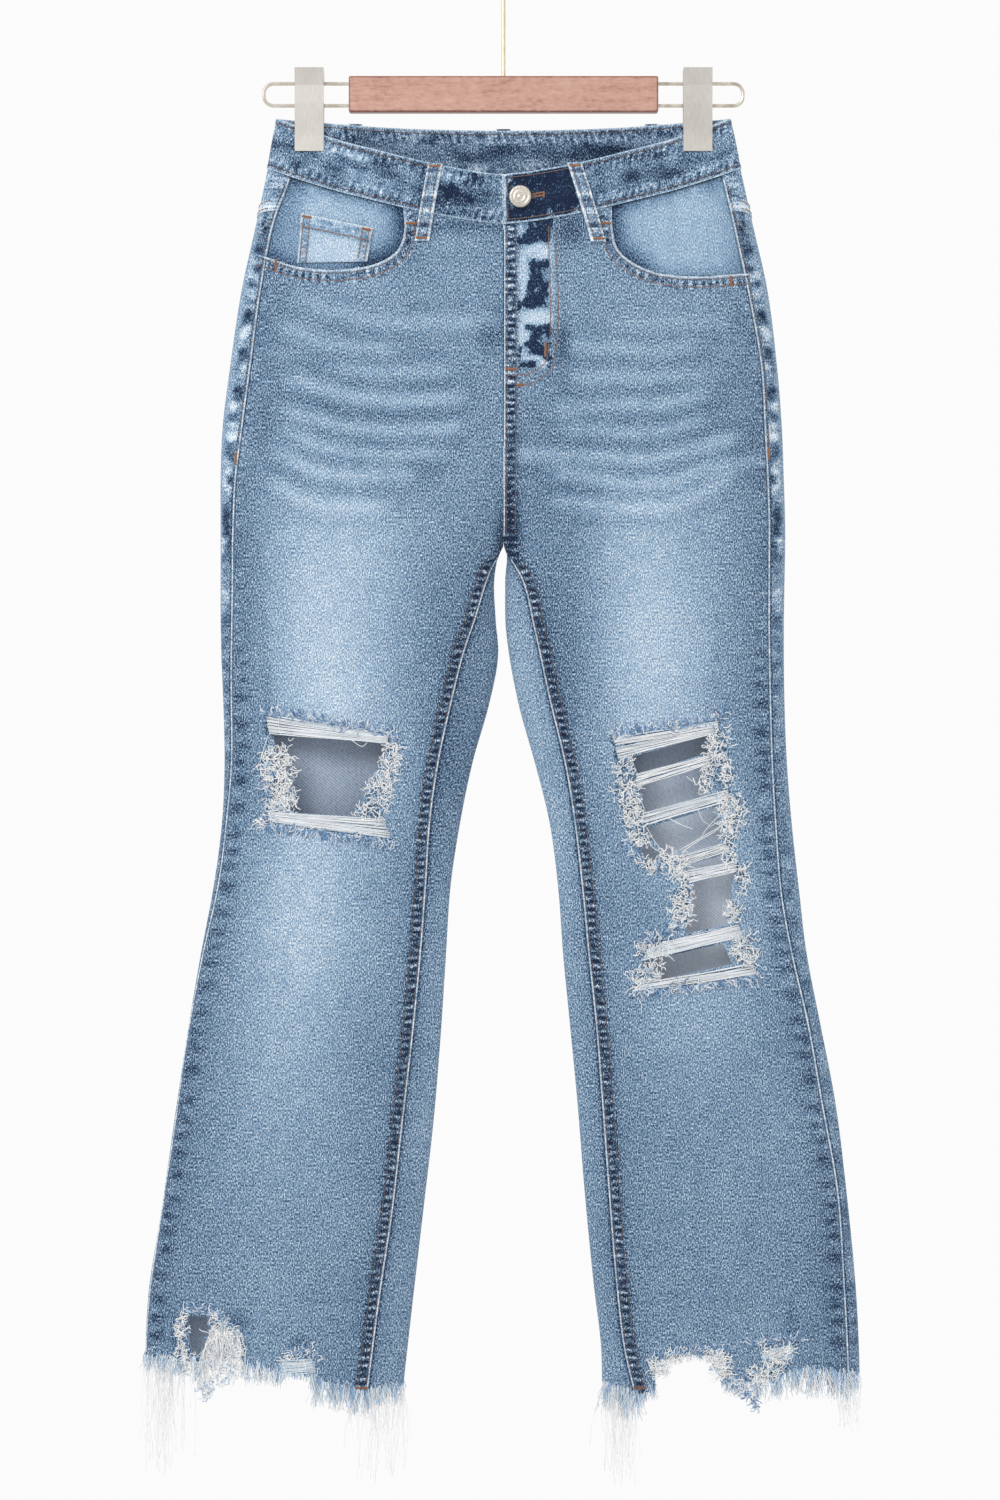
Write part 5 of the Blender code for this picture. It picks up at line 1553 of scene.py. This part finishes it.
def button():
    """A grid round the axis, whose last column and poles are merged."""
    low, high = np.array(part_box("button"))
    radius, height = np.array(BUTTON_PROFILE).T[..., None]
    angle = np.linspace(0.0, 2 * math.pi, BUTTON_STEPS + 1)
    middle = (low + high) / 2
    points = np.stack([middle[0] + radius * np.cos(angle), low[1] + BUTTON_HEIGHT - height + 0 * angle,
                       middle[2] + radius * np.sin(angle)], axis=-1)
    satin = metal("button_satin_metal", (150, 143, 133), (232, 226, 215), 0.34, 900.0)
    piece = new_piece("button_turned", points, grid_faces(*points.shape[:2]), (satin,))
    shape = bmesh.new()
    shape.from_mesh(piece.data)
    bmesh.ops.remove_doubles(shape, verts=shape.verts, dist=1e-6)
    bmesh.ops.dissolve_degenerate(shape, edges=shape.edges, dist=1e-7)
    shape.to_mesh(piece.data)
    shape.free()
    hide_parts("button")


button()

# ---------------------------------------------------------------------------------------------
# Rips, frays and hem fringe: weft yarns that the slits laid bare, and the loose ends of both.
# Each is a joined bundle of thin closed yarns; both hems are simply cut, so warp hangs down there.
YARN = 0.00027                  # radius of a bare yarn
BARE_YARN = cotton("bare_cotton_yarn", (
    (0.0, (50, 88, 138)), (0.35, (122, 168, 214)), (0.60, (186, 218, 244)),
    (0.80, (240, 248, 255)), (1.0, (255, 255, 255))), 700.0, 0.25)

# Blue and white ends along a cut: how many, 1 down or -1 up, and the cut's line in tenths of a
# millimetre.
FRAYS = {
    "r": (
        (420, -1, ((1806, 4535), (1584, 4550), (1278, 4610), (1034, 4650), (794, 4715))),
        (420, 1, ((1798, 5345), (1514, 5390), (1217, 5425), (834, 5480))),
        (90, 1, ((1828, 5003), (1793, 5125), (1784, 5212))),
        (150, -1, ((2445, 9050), (2220, 9068), (2051, 9177), (1995, 9240))),
        (110, -1, ((1644, 9387), (1489, 9355), (1405, 9448))),
    ),
    "l": (
        (380, -1, ((817, 4700), (1217, 4642), (1601, 4570), (1681, 4520))),
        (380, 1, ((977, 6618), (1345, 6580), (1937, 6500))), (70, 1, ((881, 5459), (1025, 5571))),
        (120, -1, ((1041, 6284), (1297, 6140))),
        (170, -1, ((1142, 9423), (1276, 9382), (1473, 9362), (1669, 9362))),
        (160, -1, ((1880, 9303), (2063, 9261), (2246, 9261))),
        (110, 1, ((1698, 9546), (1824, 9631), (1922, 9743))),
    ),
}

# Single long yarns that came loose: the line of each.
LOOSE_ENDS = metres({
    "r": (
        ((1774, 4689), (1837, 4881), (1907, 4961)), ((1828, 4898), (1826, 4950), (1809, 5020)),
        ((1148, 4723), (1069, 4769), (1030, 4739)), ((1619, 4706), (1608, 4728), (1584, 4706)),
        ((1305, 5299), (1292, 5352), (1294, 5387)), ((1689, 4540), (1695, 4619), (1684, 4684)),
        ((1131, 9729), (1124, 9827), (1025, 9848), (1075, 9757)),
        ((1068, 9729), (997, 9869), (927, 9827), (1011, 9757)),
    ),
    "l": (
        ((1081, 5379), (1185, 5539), (1265, 5603)), ((1241, 5307), (1345, 5363), (1433, 5395)),
        ((1465, 5243), (1505, 5331), (1553, 5363)),
        ((1345, 5571), (1457, 5491), (1617, 5395), (1681, 5315)),
        ((1089, 5443), (1137, 5539), (1217, 5574)), ((1377, 4995), (1417, 5027), (1452, 5037)),
        ((1022, 6666), (1049, 6722), (1041, 6794)),
        ((1329, 5555), (1489, 5459), (1649, 5363), (1729, 5283)),
        ((1617, 5299), (1553, 5363), (1489, 5459)),
        ((945, 5107), (1041, 5187), (1065, 5251), (1017, 5227)),
    ),
})

# Length of the fringe below the cut, at distances out on each leg.
FRINGE = metres({
    "r": (
        (750, 100), (980, 110), (1040, 160), (1120, 200), (1455, 190), (1480, 30), (1630, 30),
        (1670, 100), (1980, 130), (2050, 200), (2280, 200), (2400, 120), (2720, 110),
    ),
    "l": (
        (730, 200), (980, 200), (1040, 80), (1150, 60), (1180, 30), (1660, 30), (1700, 100),
        (1900, 120), (1960, 160), (2260, 160), (2320, 190), (2580, 170), (2710, 100),
    ),
})

# Long white wisps: distance out, half width, length; and how many yarns make one.
WISPS = metres({
    "r": ((2580, 180, 930), (2210, 90, 340), (900, 240, 780)),
    "l": ((860, 130, 780), (2620, 120, 480)),
})
WISP_YARNS = 90


def hanging(root, length, lean, curl, steps, dice):
    """Paths that hang from root points: they lean sideways, curl a little and wander in depth."""
    t = np.linspace(0.0, 1.0, steps)
    phase = dice.uniform(0.0, 2 * math.pi, (len(root), 2))
    sway = lean[:, None] * t + curl[:, None] * (np.sin(5.0 * t + phase[:, :1])
                                                - np.sin(phase[:, :1]))
    depth = 0.10 * np.sin(3.0 * t + phase[:, 1:]) - 0.10 * np.sin(phase[:, 1:])
    down = np.sqrt(np.maximum(1.0 - lean**2, 0.3))[:, None] * t
    return root[:, None] + np.stack([sway, depth, -down], axis=-1) * length[:, None, None]


def cut_edge(side, out):
    """Drop of the cut edge at a distance out, up over the piece torn from the hem."""
    edge, tear = hem_drop(side, out), HEM_TEARS[side][1:-1]
    within = (out > tear[0][0]) & (out < tear[-1][0])
    return np.where(within, np.minimum(edge, read(tear, out)), edge)


def wander(side, start, heading, length, steps, restless, dice):
    """Random walks over the front from start (out, drop), which rise and dip a little."""
    turns = heading[:, None] + np.cumsum(dice.normal(0.0, restless, (len(start), steps)), axis=1)
    stride = length[:, None] / steps
    out = start[:, :1] + np.cumsum(np.cos(turns) * stride, axis=1)
    drop = start[:, 1:] + np.cumsum(np.sin(turns) * stride, axis=1)
    rise = np.cumsum(dice.normal(0.0, 0.00030, out.shape), axis=1)
    rise += dice.uniform(-0.0004, 0.0016, (len(start), 1))
    return face_points(side, out, drop, -np.clip(rise, -0.0006, 0.0024))


def weft_band(side, band, dice):
    """Parallel yarns across a band, slack by differing amounts, some crossing their neighbours."""
    (out_a, top_a), (foot_out_a, foot_a), (out_b, top_b), (foot_out_b, foot_b) = band
    height = max(foot_a - top_a, foot_b - top_b)
    count = int(height / 0.00042) + 3
    beat = 2 * math.pi * max(2, round(height / 0.0026))
    even = np.linspace(0.0, 1.0, count)
    gathered = even - 0.85 * np.sin(beat * even) / beat
    share_a = np.clip(gathered + dice.normal(0.0, 0.018, count), 0.0, 1.0)[:, None]
    share_b = np.clip(share_a + dice.normal(0.0, 0.030, (count, 1)), 0.0, 1.0)
    t = np.linspace(0.0, 1.0, 14)
    start = out_a + (foot_out_a - out_a) * share_a
    stop = out_b + (foot_out_b - out_b) * share_b
    drop = ((top_a + (foot_a - top_a) * share_a) * (1 - t)
            + (top_b + (foot_b - top_b) * share_b) * t)
    wave = dice.uniform(0.0, 2 * math.pi, (count, 1))
    drop += 0.0002 * np.sin(7.0 * t + wave)
    drop += dice.normal(0.0, 0.0004, (count, 1)) * np.sin(math.pi * t)
    rise = 0.0004 + dice.uniform(-0.0003, 0.0005, (count, 1)) + 0.0003 * np.sin(9.0 * t + 2 * wave)
    return (face_points(side, start + (stop - start) * t, drop, -rise),
            dice.uniform(0.8, 1.2, count) * YARN * 1.1, dice.uniform(0.80, 1.0, count))


def rip_yarns(side):
    """Bare weft bands, fluff, frayed cuts and loose ends of one knee and hem."""
    dice = np.random.default_rng(5 + (side == "l"))
    groups = [weft_band(side, band, dice) for band in WEFT_BANDS[side]]
    paths, radius, tone = weft_band(side, HEM_WEFT[side], dice)
    groups.append((paths, radius * 0.8, tone - 0.08))
    for number, corners in FLUFF[side]:
        a, b, c, d = np.array(metres(corners))
        count = int(number * 1.15)
        reach = min(0.012, 0.003 + 0.55 * np.linalg.norm(b - a))
        u, v = dice.random((count, 1)), dice.random((count, 1))
        start = (a * (1 - u) + b * u) * (1 - v) + (d * (1 - u) + c * u) * v
        paths = wander(side, start, dice.uniform(0.0, 2 * math.pi, count),
                       dice.uniform(0.5, 1.0, count) * reach, 9, 0.90, dice)
        shaded = dice.random(count) < 0.12
        tone = np.where(shaded, dice.uniform(0.44, 0.66, count), dice.uniform(0.94, 1.05, count))
        groups.append((paths, dice.uniform(1.2, 1.8, count) * YARN, tone))
    for count, heading, line in FRAYS[side]:
        path = rounded(metres(line), 200)
        start = path[dice.integers(0, 200, count)] + dice.normal(0.0, 0.0008, (count, 2))
        paths = wander(side, start, heading * math.pi / 2 + dice.normal(0.0, 0.60, count),
                       dice.uniform(0.003, 0.0090, count), 6, 0.50, dice)
        clump = 0.5 + 0.5 * np.sin(start[:, 0] * 2400 + 3.0 * np.sin(start[:, 0] * 700))
        blue = dice.random(count) < 0.30 + 0.45 * clump
        tone = np.where(blue, dice.uniform(0.12, 0.42, count), dice.uniform(0.62, 0.95, count))
        groups.append((paths, dice.uniform(1.1, 1.7, count) * YARN, tone))
    rise = 0.0012 + 0.0008 * np.sin(np.linspace(0.0, 5.0, 16))
    for line in LOOSE_ENDS[side]:
        groups.append((face_points(side, *rounded(line, 16).T, -rise)[None], YARN * 1.1, 1.0))
    return bundle(f"rip_yarns_{side}", groups, BARE_YARN)


def hem_fringe(side):
    """Short blue-white ends all round the hem, and long white wisps below it."""
    dice = np.random.default_rng(11 + (side == "l"))
    inner, outer = size(side, "inner", FLARE) + 0.001, size(side, "outer", FLARE) - 0.0005
    groups = []
    for face, count, share in (("front", 900, 1.0), ("back", 700, 0.7)):
        out = dice.uniform(inner, outer, count)
        drop = cut_edge(side, out) - dice.uniform(0.0005, 0.0040, count)
        root = face_points(side, out, drop, dice.uniform(-0.0002, 0.0009, count), face)
        length = share * read(FRINGE[side], out) * dice.uniform(0.55, 1.10, count)
        clump = 0.22 * np.sin(out * 430 + 2.0) + 0.14 * np.sin(out * 910)
        lean = clump + dice.normal(0.0, 0.14, count)
        paths = hanging(root, length + 0.003, lean, dice.uniform(0.0, 0.10, count), 6, dice)
        torn = (drop < hem_drop(side, out) - 0.005)[:, None]
        tuft = 0.12 * np.sin(out * 1500 + 2.0 * np.sin(out * 460))
        tone = np.where(dice.random(count) < 0.45, dice.uniform(0.80, 1.05, count),
                        dice.uniform(0.42, 0.80, count))
        tone = np.where(torn, 0.95, (tone + tuft)[:, None] + 0.16 * np.linspace(-1, 1, 6))
        groups.append((paths, dice.uniform(0.8, 1.3, count) * YARN, tone))
    for centre, half, reach in WISPS[side]:
        out = centre + half * np.clip(dice.normal(0.0, 0.5, WISP_YARNS), -1.0, 1.0)
        drop = cut_edge(side, out) - 0.003
        face = np.where(dice.random(WISP_YARNS) < 0.5, 1.0, -1.0)
        root = skin(side, face * turn_at(side, out, drop), drop, 0.0005)
        length = reach * dice.uniform(0.25, 1.0, WISP_YARNS)**1.4
        lean = dice.normal(0.0, 0.05, WISP_YARNS)
        paths = hanging(root, length, lean, dice.uniform(0.01, 0.05, WISP_YARNS), 10, dice)
        groups.append((paths, dice.uniform(0.50, 0.80, WISP_YARNS) * YARN,
                       dice.uniform(0.95, 1.1, WISP_YARNS)))
    piece = bundle(f"hem_fringe_yarns_{side}", groups, BARE_YARN)
    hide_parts(f"hem_fringe_{side}")
    return piece


# The loose yarns of each side: its rips and its hem.
for side in SIDES:
    loose = [rip_yarns(side), hem_fringe(side)]

# ---------------------------------------------------------------------------------------------
# Trouser clip hanger: a plain stained beech block, wire loops that the sprung steel clips slide
# on, and a wire hook that swivels in the block.
def stained_wood():
    """Thin reddish stain over fine straight grain, darker in the pores and along the edges."""
    material, tree, shader = start_material("stained_beech", 0.42, Coat_Weight=0.15,
                                            Coat_Roughness=0.3)
    place = object_place(tree)
    grain = noise(tree, mapped(tree, place, Scale=(9.0, 160.0, 160.0)), 1.0, 4.0, 0.65)
    fleck = noise(tree, mapped(tree, place, Scale=(160.0, 900.0, 900.0)), 1.0, 1.0)
    level = weigh(tree, 0.5, (grain, 0.5), (fleck, 0.45), (noise(tree, place, 22.0), 0.3),
                  (noise(tree, place, 260.0, 3.0, 0.6), 0.5))
    along = node(tree, "SeparateXYZ", [(0, place)])
    low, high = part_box("hanger_block")
    for axis in (0, 2):
        off = calc(tree, "SUBTRACT", along.outputs[axis], (low[axis] + high[axis]) / 2)
        half = (high[axis] - low[axis]) / 2
        edge = node(tree, "MapRange", [("Value", calc(tree, "ABSOLUTE", off)), ("To Max", -0.42),
                    ("From Min", half - 0.0018), ("From Max", half - 0.0004)]).outputs[0]
        level = calc(tree, "ADD", level, edge)
    dye(tree, shader, level, ((0.1, (136, 86, 70)), (0.45, (186, 142, 125)), (0.9, (210, 172, 156))))
    emboss(tree, shader, level, 0.2, 0.0003)
    return material


PALE_BRASS = metal("pale_brass", (204, 188, 158), (232, 220, 198), 0.36, 160.0)
RUBBED_BRASS = metal("rubbed_pale_brass", (168, 156, 140), (226, 220, 208), 0.30, 160.0)
NICKEL = metal("satin_nickel", (184, 180, 174), (204, 200, 194), 0.46, 160.0, brushed=8.0)
coat("hanger_block", stained_wood())
coat("hanger_hook", PALE_BRASS)
for side in SIDES:
    coat(f"hanger_wire_{side}", RUBBED_BRASS)
    coat(f"clip_{side}", NICKEL)

# ---------------------------------------------------------------------------------------------
# Studio: pale floor below the hanging jeans, soft light all round and a key from the upper left.
# The camera looks straight at the front.
FLOOR_Z = -1.25
FLOOR_RADIUS = 0.38
FLOOR_THICKNESS = 0.02
CAMERA_PLACE = (-0.0027, -3.5, -0.6166)
VIEW_WIDTH = 0.76               # what the frame's width covers in the plane of the jeans
LIGHTS_AIM = Vector((0.0, 0.0, -0.6))
SENSOR = 36.0


def studio_floor():
    """A round, plain pale slab."""
    shape = bmesh.new()
    bmesh.ops.create_cone(shape, cap_ends=True, segments=96, radius1=FLOOR_RADIUS,
                          radius2=FLOOR_RADIUS, depth=FLOOR_THICKNESS)
    bmesh.ops.translate(shape, verts=shape.verts, vec=(0.0, 0.0, FLOOR_Z - FLOOR_THICKNESS / 2))
    mesh = bpy.data.meshes.new("floor")
    shape.to_mesh(mesh)
    shape.free()
    material, tree, shader = start_material("pale_floor", 0.9)
    dye(tree, shader, noise(tree, object_place(tree), 3.0),
        ((0.3, (226, 226, 226)), (0.7, (232, 232, 232))))
    mesh.materials.append(material)
    new_object("floor", mesh)


def soft_light(name, place, width, power):
    """A square soft box at a place, turned to the middle of the jeans."""
    lamp = bpy.data.lights.new(name, "AREA")
    lamp.size = width
    lamp.energy = power
    holder = new_object(name, lamp)
    holder.location = place
    holder.rotation_euler = (LIGHTS_AIM - Vector(place)).to_track_quat("-Z", "Y").to_euler()


def surroundings():
    """Even light from all round, against which the camera sees plain near-white."""
    world = bpy.data.worlds.new("studio")
    bpy.context.scene.world = world
    world.use_nodes = True
    tree = world.node_tree
    light = tree.nodes["Background"]
    light.inputs["Color"].default_value = (0.995, 0.995, 0.995, 1.0)
    light.inputs["Strength"].default_value = 0.90
    seen = node(tree, "Background", [("Color", (0.972, 0.968, 0.972, 1.0)), ("Strength", 1.0)])
    path = node(tree, "LightPath")
    mix = node(tree, "MixShader", [(0, path.outputs["Is Camera Ray"]), (1, light.outputs[0]),
               (2, seen.outputs[0])])
    tree.links.new(mix.outputs[0], tree.nodes["World Output"].inputs["Surface"])


studio_floor()
soft_light("key", (-1.5, -2.6, 0.9), 1.4, 38.0)
soft_light("back_fill", (1.2, 2.6, 0.6), 2.0, 16.0)
surroundings()
camera = new_object("camera", bpy.data.cameras.new("camera"))
camera.location = CAMERA_PLACE
camera.rotation_euler = (math.pi / 2, 0, 0)
camera.data.sensor_fit = "HORIZONTAL"
camera.data.sensor_width = SENSOR
camera.data.lens = SENSOR * -CAMERA_PLACE[1] / VIEW_WIDTH
bpy.context.scene.camera = camera
bpy.context.scene.view_settings.view_transform = "Standard"
